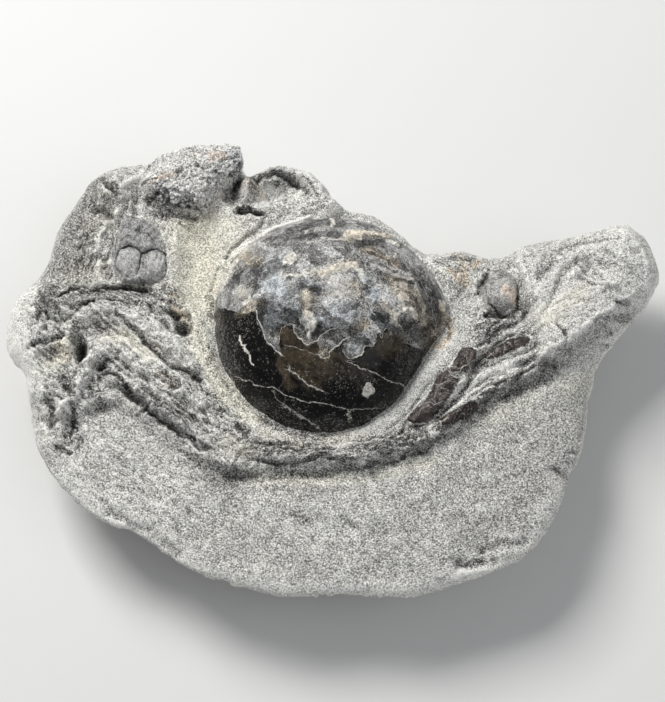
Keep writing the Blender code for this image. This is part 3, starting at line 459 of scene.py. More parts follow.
PALE_AND_LIT = strokes("""
    -64,12 -64.5,5 -63,0 -61,-4 3 1; -61.6,11 -61.6,4 1.3 0.9; -60,-9 -58.5,-16 2.2 0.5;
    -20,21 -17,24 -13,26.8 -8,28.9 -5,30 1,31 0.8 1; -14.6,34.5 -11.9,33.6 -7,33 2 1; -13.5,36.6 -8,36.2 1.6 1;
    -18.5,44.5 -15.5,45.5 -10,44 -5,41 -2,36 1 0.4; -40,40 -43,36 -42,33 0.8 0.6; -47.5,33.5 -48.6,33.2 0.6 1;
    -31,0 -35,3.5 -39,6 -43,8 0.9 0.5; -36,6.5 -30,2 -27,-1.5 0.8 0.45;
    -45.5,0.2 -40,0.6 -36,-2.6 -31,-7 -27,-10.4 0.9 0.45; -48,-2 -49.5,-6 -51.5,-9.5 -54,-13 -54.5,-17 0.9 0.75;
    -46.8,-4.5 -44.6,-4 0.3 1; -46.5,15 -48,21 -46.8,27 -44.5,31.5 0.9 0.5; -38.5,-12.6 -36.5,-11 0.25 1;
    -36.8,-12.9 -35.2,-11.6 0.2 0.9; -26.3,-17.6 -25.2,-20.6 0.2 0.8; -27.4,-17.8 -22.5,-20.4 0.2 0.7;
    2,-18.6 7,-16.8 12,-13.2 16.5,-7.8 20.5,-2 24.5,3 1.9 0.9; 26,6 28,12 30,20 2 0.35;
    24.5,-9.6 30,-6.2 36,-3 41,0 0.9 0.8; 28.5,1 32,3.2 1 0.7;
    48.4,17.1 49.9,15.4 51.9,14.6 54.8,14.2 57.2,14 0.45 0.9; 44.1,20.5 47.7,22.5 62.2,26 1 0.3;
    62,14.5 53.5,8.5 46,2 41,-1 1.6 0.4; 17,-16.8 21,-15.6 22.5,-13.8 0.5 0.5;
    62.3,27.7 64,25.7 64.8,20.7 65.7,16.2 1.1 0.7; -34.5,-31 -30,-29.4 1.2 0.45; -16,-31.5 -14,-34.5 1.8 0.25;
    -8,-36.5 -2,-37.4 5,-36.4 1.4 0.3; 3,-32 6,-36 0.9 0.3; 22,-31 30,-32 1.5 0.25; 24,-44.6 27,-44 31,-43.2 0.9 0.8;
    9.5,31 14.5,28.6 1 0.5; 19.5,21 22.5,17 0.6 0.5; -19.8,-9.6 -16.6,-12.6 0.35 0.7; -33,-30 -44,-30 -52,-23 1.2 0.2;
    -25.2,33.2 -25,30.8 0.9 0.35; 36,20 50,24.5 59,27 1.6 0.25; 40,12 50,15 60,22 7 0.8;
    51.9,10 55.1,9.1 57.3,7.9 1 1; 38,17.4 41.1,19.7 1 1; 42.4,2.8 45.4,5.2 49.9,8.4 1.4 0.7;
    -17.5,44 -8,43 -3,39 3.4 1; -39.8,41.5 -35.6,44.7 -29.4,46 1 0.4; 41,-4 50,1 58,7 65,14 3.5 0.75;
    -50,-24 -42,-18 -36,-22 -26,-30 2.6 0.3; -53,-20 -47,-30 -38,-34 2 0.35; -64.2,9 -62.6,5 2.6 1;""")
RUST = strokes("""
    -32.4,12 -31.6,11.4 0.8 0.8; -31.8,7.9 -30,7.6 1 0.7; -34,-5 -31.4,-7.2 1.2 0.5; -55,1 -53.6,-1.4 1.6 0.5;
    -18,37.6 -14.5,35.4 1.3 0.5; 24,17.4 27.4,15.4 26.5,19 1.2 0.7; 29.2,19.5 30.4,20.6 1 0.9;
    35,12.6 36.8,11.4 0.9 0.8; 25,22.6 28,20 1.4 0.5; 19.5,2.4 22.4,6 1.2 0.5; -20.4,18.5 -23,13.5 0.8 0.55;
    -19,24 -16,27 0.9 0.3; -24.6,37 -22.8,34.6 0.9 0.6; -52.4,17 -50.6,22 1.2 0.35;
    23.4,7.6 23.8,4.6 22.4,1.8 0.8 0.8; 20.6,1.2 21.8,0.6 0.6 0.9; 22.6,-16.2 25.6,-13.8 0.8 0.4;
    11,30 6,32.4 0.8 0.25;""")
WEATHERING_AND_PAINTED_LIGHT = {"dark": DIRT_AND_SHADE, "cream": CREAM, "pale": PALE_AND_LIT, "rust": RUST}
# Outline of the block of the left claw, whose front foot the stone's surface dips under
LEFT_HAND_OUTLINE = points("""
    -37.6,33.2 -33.6,31.6 -29.5,30.7 -26.2,30.9 -24.2,33 -22.6,35.9 -20.4,37.6 -19,39.6 -18.8,42.8 -20,44.7 -24.9,44.7
    -30.2,44.2 -34.3,43.1 -37.8,41.5 -40.2,39.3 -40.7,37 -39.7,34.8""")
BASE_CENTRE = (-3.0, -6.0)
BASE_RADII = (38.0, 23.0)
SIDE_ROWS = 34
# Distance between corners around the crab, on the plain worn face behind it, and where the stone is out of sight
FINE_GRID = 0.31
WORN_GRID = 0.5
BURIED_GRID = 1.6
WORN_START = -25.0


def marked(x, y, groups, wander):
    """Strength of each group of marks at each place, with outlines that wander by some millimetres."""
    wx, wy = wandered(x, y, wander, 2.5, 13.0, 4, 0.6)
    found = {}
    for name, marks in groups.items():
        value = np.zeros(len(x))
        for path, half_width, strength in marks:
            i = near(x, y, path, 3.0 * half_width)
            spread = line_distance(wx[i], wy[i], path) / (half_width * 1.25)
            value[i] = np.maximum(value[i], strength * np.exp(-spread ** 3))
        found[name] = value
    return found


def field_places(loop, step, margin, low_limit=-FAR, high_limit=FAR):
    """Points of a staggered grid between two y limits, kept a margin clear of the loop."""
    row_gap = step * math.sqrt(0.75)
    low_x, low_y, high_x, high_y = box_of(loop)
    rows = np.arange(math.ceil(max(low_limit, low_y) / row_gap), math.floor(min(high_limit, high_y) / row_gap) + 1)
    columns = np.arange(math.floor(low_x / step), math.ceil(high_x / step) + 1)
    row, column = np.meshgrid(rows, columns, indexing="ij")
    x, y = ((column + 0.5 * (row % 2)) * step).ravel(), (row * row_gap).ravel()
    clear = depth_inside(x, y, loop) > margin
    return np.column_stack((x[clear], y[clear]))


def triangles(loop, places):
    """Triangles of a flat field bounded by the loop; the loop's own corners come first."""
    corners = [Vector(p) for p in loop] + [Vector(p) for p in places]
    found = delaunay_2d_cdt(corners, [], [list(range(len(loop)))], 1, 1e-6)
    return np.array([tuple(v) for v in found[0]]), [tuple(f) for f in found[2]]


def closed_below(top, faces, rings):
    """Corners and faces of a piece whose top is carried down, ring by ring of corners, to a flat floor."""
    count, previous, total = len(rings[0]), 0, len(top)
    for _ in rings:
        faces = faces + [(previous + i, previous + (i + 1) % count, total + (i + 1) % count, total + i)
                         for i in range(count)]
        previous, total = total, total + count
    floor = triangles([tuple(p) for p in rings[-1][:, :2]], [])[1]
    return np.concatenate([top] + rings), faces + [tuple(previous + i for i in face) for face in floor]


def set_out(name, data):
    """Object for a mesh, a lamp or a camera, linked to the scene."""
    made = bpy.data.objects.new(name, data)
    bpy.context.scene.collection.objects.link(made)
    return made


def closed_piece(name, corners, faces, finish):
    """Smooth piece from corners in millimetres, with its faces turned outwards."""
    mesh = bpy.data.meshes.new(name)
    mesh.from_pydata((np.asarray(corners) * MM).tolist(), [], faces)
    shape = bmesh.new()
    shape.from_mesh(mesh)
    bmesh.ops.recalc_face_normals(shape, faces=shape.faces)
    bmesh.ops.triangulate(shape, faces=[f for f in shape.faces if len(f.verts) > 3])
    shape.to_mesh(mesh)
    shape.free()
    mesh.shade_smooth()
    mesh.materials.append(finish)
    return set_out(name, mesh)


def read_corners(mesh):
    """Corners and their outward directions, in millimetres."""
    corners = np.empty(3 * len(mesh.vertices))
    outward = np.empty(3 * len(mesh.vertices))
    mesh.vertices.foreach_get("co", corners)
    mesh.vertices.foreach_get("normal", outward)
    return corners.reshape(-1, 3) / MM, outward.reshape(-1, 3)


def write_corners(mesh, corners):
    """Move the corners to new places in millimetres."""
    mesh.vertices.foreach_set("co", (corners * MM).ravel())


def store(mesh, fields):
    """Keep values per corner on the mesh for its material."""
    for name, values in fields.items():
        mesh.attributes.new(name, "FLOAT", "POINT").data.foreach_set("value", np.asarray(values, float))


def evened(mesh, values, rounds):
    """Values evened out between neighbouring corners, so many times."""
    edges = np.empty(2 * len(mesh.edges), int)
    mesh.edges.foreach_get("vertices", edges)
    first, second = edges.reshape(-1, 2).T
    count = len(mesh.vertices)
    links = np.maximum(np.bincount(first, minlength=count) + np.bincount(second, minlength=count), 1)
    values = np.array(values, float)
    for _ in range(rounds):
        sums = [np.bincount(first, v[second], count) + np.bincount(second, v[first], count) for v in values.T]
        values = 0.5 * values + 0.5 * np.column_stack(sums) / links[:, None]
    return values


def store_relief(piece):
    """Keep how far each corner stands above (positive) or below its surroundings, on two scales."""
    corners, outward = read_corners(piece.data)
    fine = evened(piece.data, corners, 8)
    broad = evened(piece.data, fine, 60)
    store(piece.data, {"fine": np.sum((corners - fine) * outward, axis=1),
                       "broad": np.sum((corners - broad) * outward, axis=1)})


class Value:
    """Number, colour or direction that varies over a surface. Arithmetic on it adds Math nodes."""

    def __init__(self, finish, socket):
        self.finish = finish
        self.socket = socket

    def __add__(self, other):
        return self.finish.maths("ADD", self, other)

    def __sub__(self, other):
        return self.finish.maths("SUBTRACT", self, other)

    def __rsub__(self, other):
        return self.finish.maths("SUBTRACT", other, self)

    def __mul__(self, other):
        return self.finish.maths("MULTIPLY", self, other)

    def __abs__(self):
        return self.finish.maths("ABSOLUTE", self)

    __radd__ = __add__
    __rmul__ = __mul__


def vary(base, *shares):
    """Base value moved up and down by values from 0 to 1, each by its own share."""
    for value, share in shares:
        base = base + (value - 0.5) * share
    return base


def add_node(tree, kind, settings, sockets):
    """New node with its settings, among them a colour ramp's stops, and a value or a link for each socket."""
    made = tree.nodes.new(kind)
    for setting, value in settings.items():
        if setting != "stops":
            setattr(made, setting, value)
    for i, (position, colour) in enumerate(settings.get("stops", [])):
        stop = made.color_ramp.elements[i] if i < 2 else made.color_ramp.elements.new(position)
        stop.position, stop.color = position, (*colour, 1.0)
    for socket, value in sockets.items():
        feed(made.inputs[socket], value)
    return made.outputs


def feed(socket, value):
    """Link a socket to another node's output, or set its value."""
    value = getattr(value, "socket", value)
    if isinstance(value, bpy.types.NodeSocket):
        socket.id_data.links.new(value, socket)
    else:
        socket.default_value = value


class Finish:
    """Material of a piece, with Principled sockets that are the same all over given by name."""

    def __init__(self, name, fixed):
        self.material = bpy.data.materials.new(name)
        self.material.use_nodes = True
        self.shader = self.material.node_tree.nodes["Principled BSDF"]
        for socket, value in fixed.items():
            self.shader.inputs[socket].default_value = value
        where = self.node("ShaderNodeTexCoord", {}, {}, "Object")
        self.place = self.node("ShaderNodeVectorMath", {"operation": "SCALE"}, {0: where, "Scale": 1.0 / MM}, 0)

    def node(self, kind, settings, sockets, output=0):
        return Value(self, add_node(self.material.node_tree, kind, settings, sockets)[output])

    def maths(self, operation, *values):
        return self.node("ShaderNodeMath", {"operation": operation}, dict(enumerate(values)))

    def limit(self, value):
        return self.node("ShaderNodeClamp", {}, {"Value": value})

    def step(self, low, high, value):
        """Smooth step from 0 at low to 1 at high."""
        return self.node("ShaderNodeMapRange", {"interpolation_type": "SMOOTHSTEP"},
                         {"Value": value, "From Min": low, "From Max": high})

    def read(self, field):
        return self.node("ShaderNodeAttribute", {"attribute_name": field}, {}, "Fac")

    def cloud(self, size, detail=3.0, roughness=0.5, place=None):
        """Soft noise from 0 to 1 with lumps of a size in millimetres."""
        sockets = {"Vector": place or self.place, "Scale": 1.0 / size, "Detail": detail, "Roughness": roughness}
        return self.node("ShaderNodeTexNoise", {}, sockets, "Fac")

    def crease(self, noise_value, width):
        """1 along the thin winding lines where a noise passes its middle."""
        return 1.0 - self.step(0.0, width, abs(noise_value - 0.5))

    def granular(self, share):
        """Grains scattered so densely that they cover a share of the surface."""
        return self.step(-0.10, 0.10, share - (self.grain(0.19) * 0.65 + self.grain(0.45) * 0.35))

    def mosaic(self, feature, place, scale, output):
        """One output of a pattern of irregular cells."""
        return self.node("ShaderNodeTexVoronoi", {"feature": feature}, {"Vector": place, "Scale": scale}, output)

    def channel(self, colour, number):
        """Red, green or blue of a colour, as number 0, 1 or 2."""
        return self.node("ShaderNodeSeparateColor", {}, {0: colour}, number)

    def grain(self, size):
        """Random value from 0 to 1 for each grain of a size in millimetres."""
        return self.channel(self.mosaic("F1", self.place, 1.0 / size, "Color"), 0)

    def cells(self, place, scale, seam):
        """Random value from 0 to 1 for each cell of a broken surface, and 1 on the seams between the cells."""
        edge = self.mosaic("DISTANCE_TO_EDGE", place, scale, "Distance")
        return self.channel(self.mosaic("F1", place, scale, "Color"), 1), self.step(seam, 0.0, edge)

    def flakes(self, size):
        """Cells of a size in millimetres, with uneven edges."""
        sockets = {"Vector": self.place, "Scale": 1.6 / size, "Detail": 3.0}
        sockets = {0: self.node("ShaderNodeTexNoise", {}, sockets, "Color"), 1: (0.8 * size,) * 3, 2: self.place}
        return self.cells(self.node("ShaderNodeVectorMath", {"operation": "MULTIPLY_ADD"}, sockets), 1.0 / size, 0.05)

    def splinters(self, along, across):
        """Cells drawn out along a direction."""
        place = self.node("ShaderNodeCombineXYZ", {}, {0: along, 1: across, 2: self.read("fine")})
        return self.cells(place, 1.0, 0.09)

    def crack(self, low, high, wander):
        """Strength of the nearest pale line or dark joint, whose edges wander."""
        away = abs(vary(self.read("side"), (self.cloud(0.6, 3.0, 0.6), wander)))
        return self.step(low, high, away) * self.read("white")

    def ramp(self, value, stops):
        return self.node("ShaderNodeValToRGB", {"stops": stops}, {0: value}, "Color")

    def blend(self, share, first, second, kind="MIX"):
        colours = [(*c, 1.0) if isinstance(c, tuple) else c for c in (first, second)]
        return self.node("ShaderNodeMix", {"data_type": "RGBA", "blend_type": kind},
                         {0: share, 6: colours[0], 7: colours[1]}, 2)

    def tinted(self, share, colour, tint):
        """Colour with a share of it multiplied by a tint."""
        return self.blend(share, colour, self.blend(1.0, colour, tint, "MULTIPLY"))

    def finish(self, colour, roughness, height, depth):
        """Join colour, roughness and a bump of a height field that is worth a depth in millimetres."""
        normal = self.node("ShaderNodeBump", {}, {"Height": height, "Distance": depth * MM})
        for socket, value in (("Base Color", colour), ("Roughness", roughness), ("Normal", normal)):
            feed(self.shader.inputs[socket], value)
        return self.material


LIME_TINT = (1.0, 0.965, 0.84)
RUST_TINT = (1.0, 0.80, 0.60)


def mudstone(f, bias=0.0):
    """Colour, roughness and bump height of the granular grey mudstone, with painted shade in its hollows and painted
    light on its rises.
    """
    grit, sand = f.grain(0.165), f.grain(0.38)
    fleck, mottle, drift = f.cloud(0.45, 4.0, 0.75), f.cloud(2.2, 3.0, 0.55), f.cloud(11.0, 2.0)
    dark, cream, pale, rust, rugged = (f.read(field) for field in ("dark", "cream", "pale", "rust", "rugged"))
    along, across, fine = f.read("along"), f.read("across"), f.read("fine")
    flow = f.node("ShaderNodeCombineXYZ", {}, {0: along * 0.22, 1: across * 1.5, 2: fine * 2.0})
    streak = f.cloud(1.0, 4.0, 0.65, flow)
    splinter, seam = f.splinters(vary(along * 0.45, (mottle, 1.2)), vary(across * 1.15, (fleck, 0.5), (mottle, 1.2)))
    pits = f.crease(f.cloud(1.1, 3.0, 0.6), 0.035) * rugged
    # painted shade: hollows of the relief darken the colour and rises lighten it
    hollow = f.limit(fine * 1.5 + f.read("broad") * 0.10 + 0.5)
    ragged = vary(dark, (fleck, 0.8), (f.grain(0.28), 0.5)) + (streak - 0.5) * rugged * 0.5 + (splinter - 0.5) * 0.3
    ragged = f.step(0.36, 0.56, ragged) * f.step(0.2, 0.4, dark)
    tone = vary(0.60 + bias, (grit, 0.86), (sand, 0.05), (fleck, 0.12 + rugged * 0.16),
                (mottle, 0.18), (drift, 0.13), (hollow, 0.60))
    tone = vary(tone + rugged * 0.06, (streak, 0.19 + rugged * 0.17))
    tone = tone + (splinter - 0.5) * rugged * 0.32 - seam * rugged * 0.16 - pits * 0.06
    # the dark marks are in part painted shade and the pale marks in part painted light
    tone = tone + pale * 0.23 + cream * 0.20 - ragged * 0.32 - f.maths("MINIMUM", dark, 0.3) * 0.25
    colour = f.ramp(tone, [(0.0, (0.018, 0.018, 0.017)), (1.0, (0.93, 0.92, 0.88)), (0.2, (0.080, 0.078, 0.073)),
                           (0.4, (0.215, 0.212, 0.200)), (0.6, (0.42, 0.416, 0.39)), (0.8, (0.69, 0.685, 0.65))])
    colour = f.tinted(f.limit(cream * 0.8), colour, LIME_TINT)
    colour = f.tinted(f.step(0.25, 0.8, vary(rust, (f.cloud(0.9, 3.0), 0.7))) * 0.6, colour, RUST_TINT)
    broken = streak * 0.4 + splinter * 0.5 - seam * 0.3 - pits * 0.2
    height = fleck * (0.15 + rugged * 0.3) + sand * 0.1 + grit * 0.25 + broken * rugged
    return colour, 0.92 - 0.25 * ragged, height


def base_corners(rim):
    """Corner of the flat base below each corner of the outline, spread evenly around the base."""
    offset = (rim[:, :2] - BASE_CENTRE) / BASE_RADII
    angle = np.unwrap(np.arctan2(offset[:, 1], offset[:, 0]))
    turn = 2.0 * math.pi * np.sign(angle[-1] - angle[0])
    count, reach = len(angle), len(angle) // 20
    wide = np.concatenate((angle - turn, angle, angle + turn))
    even = np.array([wide[count + i - reach:count + i + reach + 1].mean() for i in range(count)])
    return np.array(BASE_CENTRE) + np.array(BASE_RADII) * np.column_stack((np.cos(even), np.sin(even)))


# One outline for every piece that is let into the stone
PIECES = {}


def piece_depth(x, y, outline):
    """Depth inside a piece's ragged outline."""
    return depth_inside(x, y, outline) + 0.3 * lumps(spots(x, y, 7.0), 1.3)


def leg_outline(stations):
    """Outline a little wider than a leg."""
    rows = np.array(stations)
    along = np.gradient(rows[:, :2], axis=0)
    along /= np.linalg.norm(along, axis=1)[:, None]
    across = np.column_stack((-along[:, 1], along[:, 0])) * (rows[:, 2:] * 1.05 + 0.7)
    middle = rows[:, :2].copy()
    middle[0] -= along[0] * 1.2
    middle[-1] += along[-1] * 1.2
    return [tuple(p) for p in np.concatenate((middle + across, (middle - across)[::-1]))]


PIECE_STEP = 0.6
for leg, stations in LEGS.items():
    PIECES[leg] = smooth_loop(leg_outline(stations), PIECE_STEP)
PIECES["left_claw_arm"] = smooth_loop(points("""
    -42.8,31 -39,30.6 -36,28.4 -34.2,25 -33.2,21 -33,17.6 -34.8,14.9 -39.5,14.2 -43.6,15.2 -45.6,18.8 -46,22.2
    -45,26.5"""), PIECE_STEP)
STUMP_CENTRE = (33.8, 12.8)
PIECES["right_claw_stump"] = [
    (STUMP_CENTRE[0] + 4.2 * math.cos(a) + 0.9 * math.sin(a), STUMP_CENTRE[1] + 5.7 * math.sin(a))
    for a in np.linspace(0.0, 2.0 * math.pi, 60, endpoint=False)]


def chipped(loop):
    """Loop with small chips broken off its edge."""
    rim = np.array(loop)
    along = np.roll(rim, -1, axis=0) - np.roll(rim, 1, axis=0)
    inward = np.column_stack((-along[:, 1], along[:, 0])) / np.linalg.norm(along, axis=1)[:, None]
    place = spots(*rim.T, 2.0)
    chip = 0.3 * np.abs(lumps(place, 5.0, 4, 0.6)) + 0.3 * np.maximum(facets(place, 3.8), 0.0)
    return [tuple(p) for p in rim + inward * chip[:, None]]


def make_stone():
    """Nodule with its worked face, undercut flanks and flat base."""
    loop = chipped(smooth_loop(NODULE_OUTLINE, 0.55))
    places = np.concatenate((field_places(loop, FINE_GRID, 0.25, low_limit=WORN_START),
                             field_places(loop, WORN_GRID, 0.35, high_limit=WORN_START - 0.2)))
    for outline, margin in [(CARAPACE_OUTLINE, 1.6), (LEFT_HAND_OUTLINE, 2.6)] + [(o, 2.0) for o in PIECES.values()]:
        i = near(places[:, 0], places[:, 1], outline, 0.0)
        buried = i[depth_inside(places[i, 0], places[i, 1], outline) > margin]
        places = np.concatenate((np.delete(places, buried, axis=0), field_places(outline, BURIED_GRID, margin + 0.4)))
    flat, faces = triangles(loop, places)
    x, y = flat.T
    height = worked_face(x, y)
    for outline in PIECES.values():
        i = near(x, y, outline, 1.0)
        height[i] -= 0.7 * ramp(0.9, 1.6, piece_depth(x[i], y[i], outline))
    height -= 3.0 * ramp(0.4, 2.4, depth_inside(x, y, CARAPACE_OUTLINE))
    height -= 2.0 * ramp(0.8, 2.4, depth_inside(x, y, LEFT_HAND_OUTLINE))
    top = np.column_stack((x, y, height))
    rim = top[:len(loop)]
    foot = base_corners(rim)
    reach = 14
    wide = np.concatenate((rim[-reach:], rim, rim[:reach]))
    even_rim = np.column_stack([np.convolve(column, np.hanning(2 * reach + 1) / reach, "valid") for column in wide.T])
    straight = 0.15 + 0.5 * ramp(5.0, -25.0, rim[:, 1])
    chip_depth = np.maximum(0.14 + 0.10 * lumps(spots(*rim[:, :2].T), 6.0), 0.05)
    rings = []
    for row in range(1, SIDE_ROWS + 1):
        turn = row / SIDE_ROWS
        inward = straight * turn + (1.0 - straight) * (1.0 - math.cos(turn * math.pi / 2))
        edge = rim + (even_rim - rim) * ramp(0.0, chip_depth, turn)[:, None]
        level = edge[:, 2] * (1.0 - straight * turn - (1.0 - straight) * math.sin(turn * math.pi / 2))
        place = foot + (edge[:, :2] - foot) * (1.0 - inward)[:, None]
        swell = np.array([noise.noise(Vector((*p, 3.0 * z)) / 14.0) for p, z in zip(place, level)])
        place = place * (1.0 + (2.0 * math.sin(turn * math.pi) * swell / np.linalg.norm(place, axis=1))[:, None])
        rings.append(np.column_stack((place, level)))
    stone = mudstone_piece("stone_nodule", *closed_below(top, faces, rings), STONE, len(x))
    low, high = (np.array(c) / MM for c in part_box("stone_matrix"))
    shape, outward = read_corners(stone.data)
    flank = np.maximum(ramp(high[2], high[2] - 9.0, shape[:, 2]), 0.0) * (np.arange(len(shape)) >= len(x))
    rim_level = np.concatenate((height, np.tile(rim[:, 2], SIDE_ROWS)))
    skin = 0.7 * lumps(shape, 5.0, 4) + 0.4 * facets(shape, 4.0) + 0.2 * facets(shape + 6.0, 1.8) - 0.35
    below_rim = rim_level - shape[:, 2]
    skin = np.where(below_rim < 6.0, np.minimum(skin, 0.0), skin) * ramp(0.0, 2.5, below_rim)
    shape += outward * (flank * ramp(0.0, 3.0, shape[:, 2]) * skin)[:, None]
    write_corners(stone.data, np.clip(shape, low, high))
    store_relief(stone)
    return stone


def mudstone_piece(name, corners, faces, finish, worked):
    """Piece with the weathering and the painted light and shade of the worked face on its first corners."""
    piece = closed_piece(name, corners, faces, finish)
    x, y = np.asarray(corners)[:worked, :2].T
    rest = np.zeros(len(corners) - worked)
    fields = {**marked(x, y, WEATHERING_AND_PAINTED_LIGHT, 0.45), **stone_grain(x, y)}
    store(piece.data, {field: np.concatenate((values, rest)) for field, values in fields.items()})
    return piece


stone_finish = Finish("weathered_mudstone", {"Specular IOR Level": 0.3})
STONE = stone_finish.finish(*mudstone(stone_finish), 0.2)
stone = make_stone()
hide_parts("stone_matrix")
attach(stone, "root")


# ---------------------------------------------------------------- carapace
# The crab's domed upper shell. The glossy black shell is whole on the rear half only. In front of a thin broken
# edge it has flaked off and bares a satin, blue-grey core with lime on it. Pale cracks cross both.

CARAPACE_MIDDLE = np.array([-0.3, 6.5])
CARAPACE_RADIUS = 23.7
CARAPACE_EDGE = 20.3
CARAPACE_TOP = 36.0
CARAPACE_ROOT = CARAPACE_EDGE - 2.5
CARAPACE_GRID = 0.27
SHELL_THICKNESS = 0.3
SHELL_REGION = points("""
    -26,9 -22.9,8.4 -21.3,7.2 -19.9,6 -17.8,4.7 -16.5,4.5 -15,5.4 -14.4,2.1 -12.8,-2 -12,-3 -11,-4 -9.6,-5 -10.3,-2.5
    -10,0 -8.5,1 -7.5,0.5 -7.6,-0.8 -6.5,-2 -5,-3.5 -3.5,-3 -2.6,-3.6 -2.5,-5 -2,-6 -0.5,-6 -0.5,-5 0.5,-4 2,-3
    1.8,-4.6 3,-6 4,-6 5.5,-5 6.5,-3.5 8,-3.5 8.5,-2.5 8.6,-1 9.5,-0.5 10.5,0.6 11.3,-0.7 13.5,-1.2 16,-1.4 18.5,-0.6
    19.6,1.2 20.4,3 26,4 26,-26 -30,-26 -30,9""")
# Pale lines: path, width, whiteness
SHELL_CRACKS = strokes("""
    -15,5.4 -14.9,3.6 -14.4,2.1 -13.6,0.2 -12.8,-2 -12,-3 -11,-4 -9.6,-5 0.26 0.9;
    -10.3,-2.5 -10,0 -8.5,1 -7.5,0.5 -7.6,-0.8 -6.5,-2 -5,-3.5 -3.5,-3 -2.5,-2 -1,-1 0.6,-0.6 0.26 1;
    -9,-3.2 -6.5,-4 -4,-5 -2.5,-5.3 0.16 0.7; -2.5,-5 -2,-6 -0.5,-6 -0.5,-5 0.5,-4 2,-3 3,-2.5 0.25 0.9;
    1.8,-4.6 3,-6 4,-6 5.5,-5 6.5,-3.5 8,-3.5 8.5,-2.5 0.3 0.9; 9.2,-1.1 9.6,-0.5 10,-1.1 9.6,-1.5 9.2,-1.1 0.2 1;
    9.8,-0.6 10.6,0.6 0.2 0.8; 3,-6.8 6.3,-7.8 8.2,-7.9 10.2,-8.4 12.2,-8.4 14.3,-7.5 0.34 1;
    -19.2,-6.1 -15.1,-8.9 -11.2,-10.3 -7.3,-12.4 -4.9,-13.3 0.5,-13.8 2.8,-14.2 0.26 0.95;
    2.8,-14.3 4.4,-14 9.1,-12.7 0.2 0.6; -21.4,-3 -20,-5.5 0.2 0.5; -9.6,-13.3 -6.5,-15 -2.6,-16.7 0.5 0.85;
    -11.6,-10.8 -10,-12.4 -9.2,-13.3 0.16 0.6; -8.4,-7.8 -5.7,-9.7 -3.4,-11.1 -1.4,-11.7 0.5 0.8;
    -8.4,-6.8 -8.2,-7.8 0.25 0.6; -2.6,-17.3 0.5,-17.3 4.4,-16.5 0.25 0.8;
    -14.9,14.2 -13.4,15.3 -11.4,16.4 -10.2,16.6 0.4 0.8; -11.5,20.3 -8.3,19.9 -5,18.8 0.2 0.6;
    -5,18.8 -3.5,18.7 -1.9,19.7 2.9,19.9 0.45 0.9; 7.9,13.8 10.7,12.8 12.3,12.2 15.9,12.1 0.7 1;
    5.1,9.2 6.7,5.1 8.2,2.6 0.4 0.6; 11.3,27.4 15.9,20.4 19.8,15.1 22.7,11.8 0.35 0.8;
    17.5,13.5 19.6,9 20.6,4.6 0.25 0.6; -20.6,15 -18,19.6 -12.5,24.2 0.35 0.6; 13.6,5.6 15.4,6 16.6,5 0.35 0.9;""")
# Ridges, folds and hollows of the dome: path, half width, rise
SHELL_LINES = strokes("""
    -4.3,0.2 -4.9,6 0.9 0.6; -6.3,0.6 -5.5,-1.7 0.6 -0.4; -2.6,0.4 -3,-1.8 0.6 -0.4; -7.6,-7.4 -2.2,-10.8 1.3 -0.35;
    -11.5,20.3 -5,18.8 -1.9,19.9 4,20.4 0.5 0.3; 7,14.3 11,13.2 16,12.6 0.5 0.35;
    12.5,-1.9 15.5,-2.3 18.6,-1.3 20.9,1.2 1 -0.55; 12.4,24 16,19 19.6,13.6 21,8.6 0.45 0.3;
    -18.4,9.6 -17,8.4 1.6 0.35;""")
